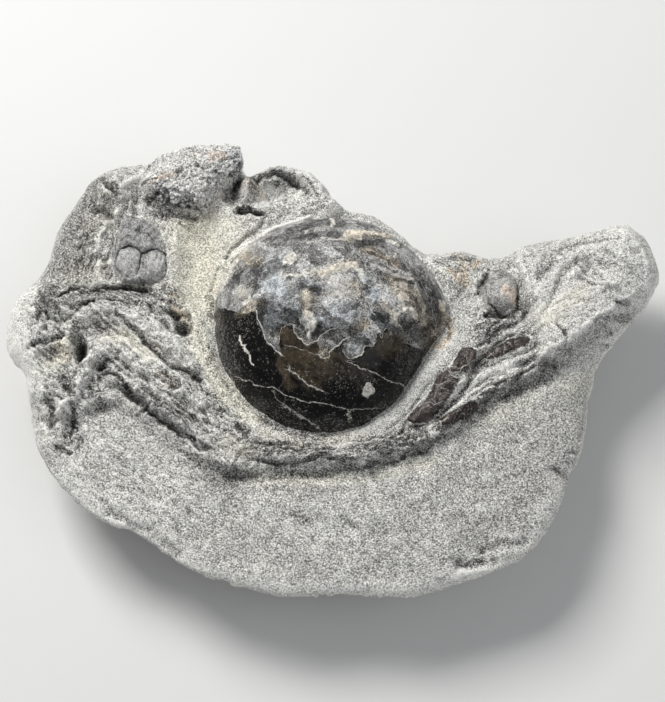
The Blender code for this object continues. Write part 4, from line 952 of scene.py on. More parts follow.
# Marks on the shell and the core: path, half width, strength
SHELL_MARKS = {
    # dark satin parts of the core, and the shadowed folds and hollows in it
    "shade": strokes("""
        -11.5,20.8 -6.7,24.1 -1.9,26.8 1.3,25.7 1.8 0.7; -10.3,21.1 -5.1,20.9 0.5,21.2 1 0.6;
        4.5,18.8 10.1,19.8 1 0.65; -19.5,14.2 -16.1,13.7 2 0.6; -20.6,8 -19.8,11.6 -16.5,12 -14.8,9 0.7 0.45;
        -14.1,4.4 -10.8,1.6 -8.2,1 1.9 0.72; -8.9,6.5 -6,8.7 0.9 0.6;
        -14.3,4.6 -14.3,1.8 -11.9,-0.4 -8.8,0.1 -8,2.3 -9.2,4.1 0.4 0.8; -6.3,0.6 -5.5,-1.7 0.7 1;
        -2.6,0.4 -3,-1.8 0.8 1; -4.2,7.6 -1.8,6.7 0.9 0.65; 6,6.3 7.6,9.2 0.8 0.55; 1.1,2.9 5.6,3.8 0.8 0.45;
        7.1,12.2 10.7,10.4 1.2 0.45; 7.6,16.3 11.6,15.1 0.35 0.9; 8.5,12.7 12,11.3 15.5,11.3 0.5 0.8;
        9.3,14 12.5,13.2 0.4 0.7; 14.8,14.5 17.2,14 1.2 0.45; 18.4,12.4 20.8,7.7 20.4,4.7 1.6 0.8;
        8.2,2.4 10.6,1.3 0.9 0.75; 13.5,0.1 18.7,1.7 1.5 0.95; -1.8,-1.6 1.8,-2 4.3,-0.4 1.3 0.62;
        1.5,-2.2 4,-3 7,-2.6 0.9 0.5; 16.5,19.6 13.2,22.6 0.7 0.4; 9.5,-0.2 13,0.6 0.6 0.7;
        -15.4,11.8 -14.6,9.4 0.5 0.4;"""),
    # pale patches of the core, and a painted highlight on the top of the dome
    "light": strokes("""
        -12.4,10.7 -11.2,10.9 1.5 0.8; -13.6,8.2 -10.4,7.2 1.3 0.5; -1.8,2.4 2.8,2 1.2 0.4; 9.8,7.2 14.6,6.5 1.8 0.7;
        3.9,-4.3 4.3,-4.5 1.3 0.6; 16.6,2.5 17.4,3.2 0.9 0.3; -1,9.4 4,8.6 3.4 0.5; -6.5,11 4.5,12.6 1.6 0.5;
        -3,5 4,5 1.6 0.4; 6.5,8.8 9,9 1.2 0.4;"""),
    "blue": strokes("""
        -13.7,14.4 -11.3,14.3 2.2 0.7; -12.4,10.7 -10.4,5.9 2 0.8; -13.9,3.3 -8.4,2.4 2.2 1; -5.5,8.3 -2.4,7.5 1.2 1;
        -1.1,0.4 2.8,2 2.2 0.7; 7.5,7.7 8.2,6.5 1 0.9; 8.2,2.4 10.6,1.3 1.2 1; 3.9,-4.3 6,-3 1.5 0.7; 17,3 19,8 1 0.3;
        11.9,20.9 12.3,21.1 1.2 0.8; 5.4,12.2 6.1,10.2 0.9 0.8; -9.7,-3 -9.5,-3.9 0.7 0.9;"""),
    # lime: grains where it is weak, a crust where it is strong
    "pale": strokes("""
        -17.9,9.3 -17.4,8.8 1.9 0.72; -8.8,15 -8.4,14.9 1.2 1; -17.6,6.7 -16.2,6.9 -16,8 0.3 1;
        -17.2,5.1 -15.4,5.2 0.7 0.62; 2.5,21.3 6.5,22.7 11,23.6 0.8 0.9; 11.9,20.9 12.3,21.1 0.9 0.9;
        -8.9,11 -6.1,11.3 -3.4,11.8 0.6 0.75; -1.8,11.3 0.5,12.2 4.4,13.1 1.1 0.8; -1.1,9.5 2.8,8.7 1.8 0.6;
        -1.4,6.4 4.4,7 1.2 0.6; 4.4,8.7 5.5,6.2 0.8 0.6; 5.4,12.2 6.1,10.2 0.7 0.75; -4.9,4.6 -5.3,7 0.9 0.7;
        -4.4,2.2 -4.1,0.4 0.75 1; -4.4,-0.7 -4.5,-2 0.3 0.9; 12,3 12.1,2.2 1.2 0.85; 14.3,4.8 16,4.4 1.3 0.85;
        9.8,7.2 14.6,6.5 1.4 0.35; 22.4,9.6 22.6,8 0.7 0.9; -21.6,17.5 -19,21.5 -15.5,24.3 0.7 0.7;
        -20,22 -15.4,16.1 1.3 0.4; -0.3,27.6 0.1,24 0.35 0.8; -5.3,21.6 -4.5,22.3 0.35 0.75; 6.7,-11.1 7,-11.1 0.85 1;
        -17.7,0.4 -17.3,-1.2 -16.3,-3.3 0.36 0.66; -16.3,-3.3 -15.1,-5.3 0.28 0.64; 3.1,-14.4 3.6,-14.5 0.8 0.55;
        -8,-7.5 -6.1,-8.4 -3.4,-9.8 1.1 0.3; 21.6,4.6 20.6,2.6 0.8 0.5; 3.2,-4.4 4.6,-4.6 1 0.4;
        -22.5,13 -20.8,17.5 -18,21.6 -14,25.2 1 0.75; -24.2,8 -23.6,1 -21.6,-5 -18,-10 0.5 0.62;
        -23.4,5 -22.4,-2 1.3 0.25;"""),
    "tan": strokes("""
        2.5,20.6 6.5,22.2 11,23 1.3 0.9; 6.4,17.2 12.4,15.3 1.3 0.8; 10.3,11.3 12.7,10.9 0.7 0.8;
        14.8,14.5 17.2,14 1.2 0.5; 13,10 17,7 19.5,2 2.6 0.7; -20,22 -15.4,16.1 1.4 0.7; -16.5,17 -15.5,15.4 0.7 0.6;
        -5,4 -4.9,7 1.4 0.8; 5.1,0.2 6.3,0.3 1.1 0.8; -1.8,11.3 4.4,13.1 1.4 0.55; 4.4,8.7 5.5,6.2 1 0.6;
        9.5,4 12,2.5 1.3 0.5; 22.3,8.6 21.9,5.5 20.6,2.4 0.8 1; -17.8,5.1 -15.1,5.7 1 1; -9.2,-0.6 -8,-2.2 1.3 0.85;
        -9.9,-5.6 -9.2,-9 -8.4,-10.4 0.8 0.85; -7.5,-5 -1.8,-6.9 3 0.75; -4.9,-10.7 -1.8,-10.2 1.2 0.35;
        9.8,-3.2 13.4,-1.1 1.8 0.7; -7,-8 -4,-9.6 1 0.75; 1,-7.4 6,-8 2.6 0.4;"""),
    # dust and fine scratches on the black shell, and a painted sheen along its left edge
    "dust_and_sheen": strokes("""
        -24.2,7.7 -22.6,-0.5 -19.8,-6 1.9 1; -17.3,-10.2 -13.2,-12.2 0.6 0.9; -18.1,-10.4 -15.3,-11.9 0.4 0.9;
        -14,-12.6 -8,-15.8 0,-17.5 6,-15.8 12,-11.2 16.5,-4.6 0.7 0.7; -1.8,-15.6 2,-16 0.7 0.6;
        7.4,-9.6 8.2,-9.2 0.8 0.6; 14,-5 17,-3 1.5 0.4; 10.9,-1.4 11.3,-1.5 0.7 0.9; -18,4 -18.5,-1 1.8 0.4;
        -2,-8 3,-9.6 2 0.3; -12,-12.6 -6,-15 0.8 0.5; 15,-1.8 19,-1 1 0.4;"""),
}


def line_fields(x, y, lines):
    """Side of and distance to the nearest pale line, in its own widths, and how white it is there."""
    side = np.full(len(x), 9.0)
    white = np.zeros(len(x))
    for path, width, strength in lines:
        i = near(x, y, path, 1.2)
        for start, end in zip(path, path[1:]):
            _, ax, ay = from_segment(x[i], y[i], start, end)
            away = np.hypot(ax, ay) / width
            closer = away < np.abs(side[i])
            sign = np.where((end[0] - start[0]) * ay - (end[1] - start[1]) * ax >= 0.0, 1.0, -1.0)
            side[i] = np.where(closer, away * sign, side[i])
            white[i] = np.where(closer, strength * ramp(2.6, 1.2, away), white[i])
    return side, white


def make_carapace(finish):
    """Dome with a skirt below its edge, thinned where its shell has flaked off."""
    radii = np.linspace(1.0, 0.0, 4001)
    heights = (CARAPACE_TOP - CARAPACE_EDGE) * (1.0 - radii ** 2.1) ** 0.62
    arc = np.concatenate(([0.0], np.cumsum(np.hypot(np.diff(radii * CARAPACE_RADIUS), np.diff(heights)))))
    reach = arc[-1]
    turns = np.linspace(0.0, 2.0 * math.pi, 700, endpoint=False)
    loop = [(reach * math.cos(a), reach * math.sin(a)) for a in turns]
    flat, faces = triangles(loop, field_places(loop, CARAPACE_GRID, 0.2))
    rim = np.array(smooth_loop(CARAPACE_OUTLINE, 4.0)) - CARAPACE_MIDDLE
    rim_turn, rim_reach = np.arctan2(rim[:, 1], rim[:, 0]), np.hypot(rim[:, 0], rim[:, 1])
    order = np.argsort(rim_turn)
    angle = np.arctan2(flat[:, 1], flat[:, 0])
    outline = np.interp(angle, rim_turn[order], rim_reach[order], period=2.0 * math.pi)
    from_edge = np.maximum(reach - np.hypot(flat[:, 0], flat[:, 1]), 0.0)
    radius = np.interp(from_edge, arc, radii)
    even = outline + (CARAPACE_RADIUS - outline) * np.minimum(1.0, 1.5 * (1.0 - radius))
    x = CARAPACE_MIDDLE[0] + np.cos(angle) * radius * even
    y = CARAPACE_MIDDLE[1] + np.sin(angle) * radius * even
    top = np.column_stack((x, y, CARAPACE_EDGE + np.interp(from_edge, arc, heights)))
    skirt = top[:len(loop)] * (1.0, 1.0, 0.0) + (0.0, 0.0, CARAPACE_ROOT)
    shell = closed_piece("carapace_shell", *closed_below(top, faces, [skirt]), finish)

    corners, outward = read_corners(shell.data)
    x, y = corners[:, 0], corners[:, 1]
    wx, wy = wandered(x, y, 0.22, 1.6, 17.0)
    edge = np.clip(depth_inside(wx, wy, SHELL_REGION), -3.0, 3.0)
    side, white = line_fields(wx, wy, SHELL_CRACKS)
    marks = marked(x, y, SHELL_MARKS, 0.4)
    pale = marks["pale"]
    cover = ramp(-0.14, 0.14, edge)
    core = 0.16 * lumps(corners, 4.0, 4) + 0.12 * facets(corners, 2.2) - 0.1 * marks["shade"]
    core += 0.08 * facets(corners, 1.0) + 0.3 * pale * lumps(corners, 0.8, 3)
    relief = SHELL_THICKNESS * (cover - 1.0) + (1.0 - cover) * core
    relief += 0.10 * pale - 0.10 * white * np.exp(-side ** 2) + 0.03 * lumps(corners, 2.0, 2)
    relief += lines_relief(wx, wy, SHELL_LINES)
    number = np.arange(len(x))
    buried = (number >= len(top)) | (from_edge[np.minimum(number, len(top) - 1)] < 0.3)
    corners += outward * np.where(buried, 0.0, relief)[:, None]
    corners[:, 2] = np.minimum(corners[:, 2], CARAPACE_TOP)
    write_corners(shell.data, corners)
    store(shell.data, {"edge": edge, "side": side, "white": white, **marks})
    store_relief(shell)
    return shell


def carapace_finish():
    """Glossy black shell over a satin blue-grey core, with lime, iron stain, dusting, pale cracks and painted light and
    shade.
    """
    f = Finish("carapace_shell", {"Specular IOR Level": 0.2})
    edge, shade, light, blue, pale, tan, dust_and_sheen = (f.read(name) for name in ("edge", *SHELL_MARKS))
    fleck, veil = f.cloud(0.45, 4.0, 0.75), f.cloud(1.1, 4.0, 0.7)
    mottle, drift = f.cloud(2.2, 4.0, 0.65), f.cloud(6.0, 2.0)
    grit, sand = f.grain(0.21), f.grain(0.45)
    cover = f.step(-0.05, 0.05, vary(edge, (fleck, 0.15)))
    (flake, flake_seam), (chip, chip_seam) = f.flakes(3.0), f.flakes(1.3)
    shaded = f.step(0.34, 0.44, vary(shade, (veil, 0.45), (chip, 0.4), (fleck, 0.15)))
    # lit carries the light marks, in part a painted highlight on the top of the dome
    lit = f.step(0.26, 0.36, vary(light, (veil, 0.4), (chip, 0.35), (fleck, 0.15)))
    # the fine relief added to the tone paints shade into hollows and light onto rises
    tone = vary(0.53, (mottle, 0.14), (drift, 0.10), (fleck, 0.16), (grit, 0.50 - blue * 0.15)) + f.read("fine")
    tone = vary(tone, (flake, 0.32), (chip, 0.20)) + flake_seam * 0.10 - chip_seam * 0.10
    tone = tone + lit * (0.05 + light * 0.13) - shaded * 0.26 - blue * 0.03
    core = f.ramp(tone, [(0.0, (0.012, 0.012, 0.012)), (1.0, (0.80, 0.79, 0.77)), (0.25, (0.065, 0.064, 0.062)),
                         (0.5, (0.20, 0.198, 0.192)), (0.75, (0.44, 0.438, 0.425))])
    core = f.tinted(f.limit(vary(blue * 1.1 - 0.1, (flake, 0.5))), core, (0.86, 0.93, 1.0))
    tanned = f.step(0.25, 0.75, vary(tan, (veil, 0.9)))
    core = f.tinted(tanned * 0.8, core, (1.0, 0.88, 0.72))
    lime = f.ramp(0.3 + fleck * 0.35 + sand * 0.5,
                  [(0.1, (0.15, 0.145, 0.13)), (1.0, (0.95, 0.92, 0.85)), (0.6, (0.50, 0.48, 0.43))])
    lime = f.tinted(tanned * 0.5, lime, (1.0, 0.89, 0.76))
    crust = f.step(0.66, 0.74, vary(pale, (fleck, 0.35)))
    limed = f.maths("MAXIMUM", f.granular(vary(pale * 0.95, (veil, 0.4)) - 0.12), crust)
    core = f.blend(limed * 0.9, core, lime)
    black = f.ramp(mottle, [(0.3, (0.0015, 0.0015, 0.0015)), (0.75, (0.008, 0.0075, 0.007))])
    brown = f.ramp(mottle * 0.6 + fleck * 0.4, [(0.25, (0.020, 0.015, 0.010)), (0.75, (0.100, 0.078, 0.050))])
    black = f.blend(f.step(0.10, 0.95, vary(tan, (veil, 0.9), (mottle, 0.5))) * 0.9, black, brown)
    crusted = f.maths("MAXIMUM", f.granular(pale * 0.7 - 0.1), f.step(0.5, 0.62, vary(pale, (fleck, 0.5))))
    # grey specks of dust, and of the painted sheen along the shell's left edge
    dust_and_sheen_specks = f.granular(vary(0.13 + dust_and_sheen * 0.42, (veil, 0.4)))
    black = f.blend(dust_and_sheen_specks * 0.5, black, f.ramp(grit, [(0.1, (0.03, 0.03, 0.028)), (0.9, (0.42, 0.41, 0.38))]))
    black = f.blend(crusted, black, lime)
    colour = f.blend(cover, core, black)
    line = f.crack(0.42, 0.10, 1.8) * (0.25 + 0.75 * f.step(0.36, 0.56, f.cloud(0.7, 3.0)))
    colour = f.blend(f.limit(line * 1.1), colour, (0.58, 0.555, 0.51))
    rough = vary(0.50 + limed * 0.3 - cover * 0.24, (fleck, 0.25)) + line * 0.4 + dust_and_sheen_specks * 0.2
    height = (fleck * 0.5 + mottle * 0.4 + limed * sand * 0.5) * (1.0 - cover * 0.75) + line * 0.3
    return f.finish(colour, f.limit(rough), height, 0.12)


carapace = make_carapace(carapace_finish())
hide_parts("carapace")
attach(carapace, "root")


# ---------------------------------------------------------------- legs
# Broken legs that fan out from under the carapace. On the left their shell is gone and the stone that filled
# them is left; on the right plates of brown shell still cover them, with lime in their cracks.

LEG_PLATES = {
    "right_leg_1": [
        points("""
        13.2,-16.2 16,-13.4 18.5,-10.8 20,-7 21.8,-3.8 22.9,-3.4 23.5,-5.8 25,-6.8 23.8,-9.6 21.6,-12.6 18.7,-15.9
        14.9,-16.8"""),
        points("23.4,-5.2 24.7,-1.7 25.5,0.3 27.3,1.4 29.1,0.2 28.5,-2 26.8,-4.4 25.3,-5.6"),
        points("25.6,1.2 28.2,2.4 30.3,1.8 30.1,0.4 28.1,0.5"),
    ],
    "right_leg_2": [points("""
        28.3,-2.4 30.8,-0.4 34.1,1.9 37.1,3.1 39.2,2.6 39.1,1.2 37.3,0 33.6,-1.5 30.7,-2.7 28.6,-3.5""")],
    "right_leg_3": [points("""
        20.9,-14.8 22.6,-13.7 25.9,-11.8 28.3,-11.4 29,-12.1 26.9,-14 23.7,-15.7 21.5,-16.3""")],
}
LEG_CRACKS = strokes("""
    18.8,-7.8 19.8,-7.4 21,-8 22.6,-7.2 23.9,-7.4 0.24 0.9; 17.6,-11.9 19,-11.6 19.9,-12.2 21.6,-11.5 0.22 0.8;
    19.9,-11 20.2,-9.6 20.9,-8.1 0.18 0.7; 23.2,-5.4 25.1,-5.7 25.9,-4.4 28.1,-2.6 0.3 1;
    15.9,-16 17.7,-15.6 20.5,-15.9 22.3,-14.8 0.34 1; 22.2,-3.2 22.9,-5.1 23.5,-6.2 24.6,-6.6 0.3 0.9;
    20.8,-10.2 22,-9.6 23.4,-9.8 0.16 0.6; 30.8,-0.6 32.2,-1.8 0.2 0.7; 34.1,1.9 34.3,0.6 33.8,-0.8 0.18 0.7;
    25.6,-2.6 27,-3 27.4,-1.6 0.14 0.6; 25.8,-14.4 26.4,-15.6 27.4,-15 0.24 0.8; 24,-14.6 24.6,-12.8 0.16 0.6;
    36.2,2.8 36.8,0.6 0.14 0.5; 21,-13.2 22.4,-13.4 0.2 0.7;""")


LEG_GRID = 0.24
ROOT_DEPTH = 1.5
PLATE_THICKNESS = 0.22
# Shade of a let-in piece away from its smooth lobes
PLAIN_LOBE = 0.3


def let_in_piece(name, finish, step, rise=None, plates=(), cracks=(), lobes=()):
    """Fossil piece rooted in the stone: its top follows the worked face and dips under it all round."""
    outline = PIECES[name]
    flat, faces = triangles(outline, field_places(outline, step, 0.6 * step))
    x, y = flat.T
    height = worked_face(x, y)
    height += 0.05 - 1.3 * (1.0 - ramp(0.0, 0.9, piece_depth(x, y, outline)))
    if rise:
        height += rise(x, y)
    wx, wy = wandered(x, y, 0.2, 1.2, 5.0)
    plate = np.full(len(x), -3.0)
    for corners in plates:
        plate = np.maximum(plate, depth_inside(wx, wy, corners))
    height += PLATE_THICKNESS * ramp(-0.1, 0.25, plate)
    side, white = line_fields(wx, wy, cracks)
    height -= 0.08 * white * np.exp(-side ** 2)
    count, total = len(outline), len(x)
    top = np.column_stack((x, y, height))
    root = top[:count] - (0.0, 0.0, ROOT_DEPTH)
    piece = mudstone_piece(name + "_fossil", *closed_below(top, faces, [root]), finish, total)
    lobe = np.full(total, PLAIN_LOBE)
    for (cx, cy), radius in lobes:
        lobe = np.maximum(lobe, PLAIN_LOBE + 0.4 * ramp(1.15, 0.8, np.hypot(x - cx, y - cy) / radius))
    fields = {"plate": plate, "side": side, "white": white, "lobe": lobe}
    store(piece.data, {field: np.concatenate((values, values[:count])) for field, values in fields.items()})
    store_relief(piece)
    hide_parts(name)
    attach(piece, "root")
    return piece


def leg_infill(name, gloss, bias):
    """Stone that filled a leg, a little lighter or darker than the stone around it."""
    f = Finish(name, {"Specular IOR Level": gloss})
    return f.finish(*mudstone(f, bias), 0.14)


def brown_shell():
    """Plates of brown shell with lime in their cracks and painted shadow along their edges, over mudstone."""
    f = Finish("brown_leg_shell", {"Specular IOR Level": 0.4})
    colour, rough, height = mudstone(f)
    fleck, mottle = f.cloud(0.4, 4.0, 0.7), f.cloud(1.8, 3.0)
    cover = f.step(-0.05, 0.07, vary(f.read("plate"), (fleck, 0.9), (f.grain(0.25), 0.25)))
    chip, seam = f.flakes(0.9)
    shell = f.ramp(vary(mottle * 0.5 + fleck * 0.4 + f.grain(0.2) * 0.3, (chip, 0.5)) - 0.2,
                   [(0.2, (0.005, 0.0035, 0.003)), (0.9, (0.085, 0.060, 0.052))])
    shell = f.blend(seam * f.step(0.4, 0.6, mottle) * 0.5, shell, (0.20, 0.17, 0.155))
    # painted shadow: the shell darkens towards the edges of each plate
    shell = f.blend(f.step(0.45, 0.1, vary(f.read("plate"), (mottle, 0.4))) * 0.6, shell, (0.008, 0.006, 0.006))
    shell = f.blend(f.granular(0.10 + f.step(0.45, 0.75, f.cloud(1.0, 3.0)) * 0.3) * 0.8, shell, (0.36, 0.33, 0.31))
    colour = f.blend(cover, colour, shell)
    line = f.crack(0.5, 0.15, 1.6)
    colour = f.blend(f.limit(line * (fleck * 1.6 - 0.1)), colour, (0.50, 0.475, 0.43))
    height = height * (1.0 - cover) + (fleck * 0.5 + chip * 0.7) * cover
    return f.finish(colour, f.limit(rough - cover * 0.5 + line * 0.3), height, 0.14)


PALE_INFILL = leg_infill("pale_leg_infill", 0.3, 0.03)
GREY_INFILL = leg_infill("grey_leg_infill", 0.35, -0.05)
BROWN_SHELL = brown_shell()
for leg in LEGS:
    if leg in LEG_PLATES:
        let_in_piece(leg, BROWN_SHELL, LEG_GRID, plates=LEG_PLATES[leg], cracks=LEG_CRACKS)
    else:
        let_in_piece(leg, GREY_INFILL if leg in ("left_leg_3", "hind_leg") else PALE_INFILL, LEG_GRID)


# ---------------------------------------------------------------- claws
# The left claw is broken off behind its hand: its arm shows as two rows of smooth grey plates, and its hand
# as a coarse, crystalline block. On the right only the oval stump of the claw is left, with lime on its end.

ARM_PLATE = points("""
    -43.3,31 -39,30.4 -36.8,28 -35,25 -34,21 -33.6,18 -34.5,16 -36.5,14.6 -40,14.4 -43,15.4 -45,19 -45.4,22 -44.4,26""")


def arc(cx, cy, radius, start, end, squash=1.0):
    """Points along an arc, between two directions in degrees."""
    turns = np.radians(np.linspace(start, end, 9))
    return [(cx + radius * math.cos(a), cy + squash * radius * math.sin(a)) for a in turns]


# Lower edges of the arm's plates, as path, width and darkness; below each of them lies a smooth lobe
SCALLOPS = strokes("""
    -44.4,20.2 -43.9,21.3 -43,22.3 -41.5,22.6 -40,22.1 -39,21 0.4 1;
    -39,20.9 -37.6,21.8 -36.1,22.2 -34.5,21.6 -33.7,20.2 0.4 1; -43.9,32 -44.4,28 -44.3,21.4 0.2 0.8;
    -34.6,25 -33.8,21 -34,17 0.25 0.6; -39,20.6 -39,18.6 -39.6,16.6 0.45 0.9; -39,19.6 -37.6,17.4 -36,16.4 0.18 0.45;
    -44,18.4 -42.6,16.2 -41,15.6 0.2 0.5; -43.6,24 -41.6,24.7 -39.6,23.6 0.2 0.6; -40,26.4 -38,25.6 -36.4,24 0.25 0.7;
    -43.4,27.6 -41.4,27 -40,26.4 0.18 0.6;""") + [(arc(-41.5, 31, 1.25, 20, 330), 0.22, 0.7)]
# Raised rims over those edges, as path, half width and rise
ARM_RIMS = strokes("-43.4,23.4 -41.5,23.7 -39.2,22.6 0.8 0.45; -38.6,22.6 -36,23.3 -34.2,22.4 0.8 0.45;")
ARM_LOBES = [((-41.6, 19.5), 2.4), ((-36.2, 19.3), 2.1)]


def arm_rise(x, y):
    """Plates of the arm: the upper ones lap over two smooth lobes, with a dark joint between them."""
    wx, wy = wandered(x, y, 0.25, 1.2, 3.0)
    rise = 1.2 * ramp(-1.0, 2.0, depth_inside(x, y, ARM_PLATE))
    rise += lines_relief(wx, wy, [(path, 0.22, -0.4 * dark) for path, _, dark in SCALLOPS])
    rise += lines_relief(wx, wy, ARM_RIMS)
    for (cx, cy), radius in ARM_LOBES:
        rise += 0.35 * np.clip(1.0 - (np.hypot(x - cx, y - cy) / radius) ** 2, 0.0, 1.0)
    return rise + 0.12 * facets(spots(x, y), 1.6) * ramp(21.0, 23.0, y)


def stump_rise(x, y):
    """Leaning oval swell of the stump."""
    ahead = y - STUMP_CENTRE[1]
    spread = np.hypot(x - STUMP_CENTRE[0] - 0.16 * ahead, 0.74 * ahead) / 3.6
    return 2.1 * np.clip(1.0 - spread ** 2, 0.0, 1.0) ** 0.5


def plate_finish(name, grey, lobe, spot):
    """Smooth grey plates with dark joints and painted shade in their hollows, over mudstone at their edges."""
    f = Finish(name, {"Specular IOR Level": 0.4})
    colour, rough, height = mudstone(f, -0.02)
    fleck, mottle, grit = f.cloud(0.4, 4.0, 0.75), f.cloud(1.6, 4.0, 0.65), f.grain(0.18)
    cover = f.step(-0.3, 0.3, vary(f.read("plate"), (fleck, 2.2), (mottle, 1.6)))
    # the fine relief added here paints shade into hollows and light onto rises
    shade = vary(f.read("lobe"), (mottle, 1.5), (fleck, 0.9), (grit, 1.3)) + f.read("fine")
    plate = f.blend(f.limit(vary(shade, (f.flakes(1.0)[0], 0.5))), grey, lobe)
    plate = f.blend(f.granular(vary(f.read("rust") * 0.9, (fleck, 0.6))), plate, spot)
    colour = f.blend(cover * 0.8, colour, plate)
    colour = f.blend(f.limit(f.crack(0.6, 0.2, 1.2) * (0.5 + fleck)), colour, (0.028, 0.027, 0.027))
    height = height * (1.0 - cover) + (fleck * 0.4 + grit * 0.3) * cover
    return f.finish(colour, f.limit(rough - cover * 0.35), height, 0.14)


ARM_FINISH = plate_finish("grey_claw_plate", (0.055, 0.055, 0.059), (0.50, 0.50, 0.492), (0.4, 0.3, 0.2))
STUMP_FINISH = plate_finish("grey_claw_stump", (0.05, 0.048, 0.048), (0.54, 0.53, 0.505), (0.90, 0.74, 0.62))
STUMP_JOINTS = [(arc(34, 12.8, 3.1, 60, 220, 1.4), 0.3, 0.45), (arc(34, 12.8, 3.5, 220, 300, 1.4), 0.5, 1.0)]
let_in_piece("left_claw_arm", ARM_FINISH, 0.22, arm_rise, [ARM_PLATE], SCALLOPS, ARM_LOBES)
let_in_piece("right_claw_stump", STUMP_FINISH, 0.2, stump_rise, [arc(34, 12.8, 4.2, 0, 350, 1.22)], STUMP_JOINTS,
             [((35, 12.4), 2.6)])


# Marks on the block of the claw: path, half width, strength
HAND_MARKS = {
    # smooth skin along its outer edge, and a smooth facet at its left end
    "skin": strokes("""
        -38.6,38.9 -36,40.5 -32.5,41.6 -28,42.2 -24.5,42.6 1.8 1; -24,43.4 -20.5,43.8 0.9 1;
        -39.8,36.3 -38,35.2 1.1 1; -23.2,34.4 -22,36.6 1.2 0.9;"""),
    "rust": strokes("""
        -37.2,36.4 -33.4,37.4 0.8 0.85; -24.9,41.4 -22.8,42.2 1 1; -29,42.4 -27,42.6 0.8 0.5;
        -26.6,39.8 -25.4,39.4 0.8 0.4;"""),
    # dirt and dark shell under it, painted shade along its front foot and in the hollow by its right end, and the
    # bluish dark crystals at its right end
    "dirt_and_shade": strokes("""
        -38.4,33.8 -36.2,33.2 0.9 1; -34.8,32.2 -31.5,31.4 -28.6,30.8 1.1 1; -20.4,38.2 -19,39.4 0.7 0.8;
        -32.2,38.2 -31.2,38.4 0.6 0.8; -40,37.4 -38.4,37.3 -36.6,36.7 0.3 0.9; -38,34.2 -36,35.4 0.3 0.6;
        -27.8,39.4 -27.2,38.9 0.5 0.8;"""),
    "end": strokes("""
        -20.8,42.8 -19.2,40.6 1.3 1; -25,38.4 -22.8,39.4 1.3 0.6; -36,33.6 -31,32.6 1.4 0.4;"""),
}


HAND_TOP = 26.8
HAND_ROOT = 15.5
HAND_ROWS = 22


def make_hand(finish):
    """Block of the left claw: a broken top, upright sides and its roots in the stone."""
    loop = smooth_loop(LEFT_HAND_OUTLINE, 0.35)
    flat, faces = triangles(loop, field_places(loop, LEG_GRID, 0.2))
    x, y = flat.T
    inside = np.maximum(depth_inside(x, y, LEFT_HAND_OUTLINE), 0.0)
    fall = 4.2 - 3.6 * ramp(36.5, 41.5, y + 0.25 * (x + 30.0) * (x < -30.0))
    height = HAND_TOP - fall * np.clip(1.0 - inside / 4.0, 0.0, 1.0) ** 2 - 1.2 * ramp(-30.0, -42.0, x)
    height += 0.5 * np.array([noise.noise(Vector((a, b, 3.0)) / 4.0) for a, b in zip(x, y)])
    top = np.column_stack((x, y, height))
    rim = top[:len(loop)]
    middle = np.mean(LEFT_HAND_OUTLINE, axis=0)
    rings = []
    for row in range(1, HAND_ROWS + 1):
        share = row / HAND_ROWS
        place = rim[:, :2] + (middle - rim[:, :2]) * 0.11 * share
        rings.append(np.column_stack((place, rim[:, 2] + (HAND_ROOT - rim[:, 2]) * share)))
    hand = closed_piece("left_claw_hand_fossil", *closed_below(top, faces, rings), finish)
    shape, outward = read_corners(hand.data)
    marks = marked(shape[:, 0], shape[:, 1], HAND_MARKS, 0.35)
    exposed = ramp(15.8, 18.0, shape[:, 2])
    smooth = ramp(0.25, 0.6, marks["skin"])
    broken = 0.4 * facets(shape, 2.6) + 0.3 * facets(shape + 4.0, 1.1) + 0.14 * facets(shape + 8.0, 0.6)
    broken += 0.25 * lumps(shape, 2.2, 4, 0.6, True)
    broken -= 0.9 * ramp(0.1, 0.8, lumps(shape + 40.0, 3.0, 2)) * ramp(-2.0, 0.5, 33.5 - shape[:, 1])
    broken = broken * (1.0 - 0.65 * smooth) - 0.5 * ramp(0.5, 0.9, marks["dirt_and_shade"]) * (1.0 - smooth)
    broken += 0.12 * facets(shape + 2.0, 4.0) * smooth
    shape += outward * ((broken - 0.15) * exposed)[:, None]
    write_corners(hand.data, shape)
    store(hand.data, {**marks, "crystals": exposed * (1.0 - smooth)})
    store_relief(hand)
    return hand


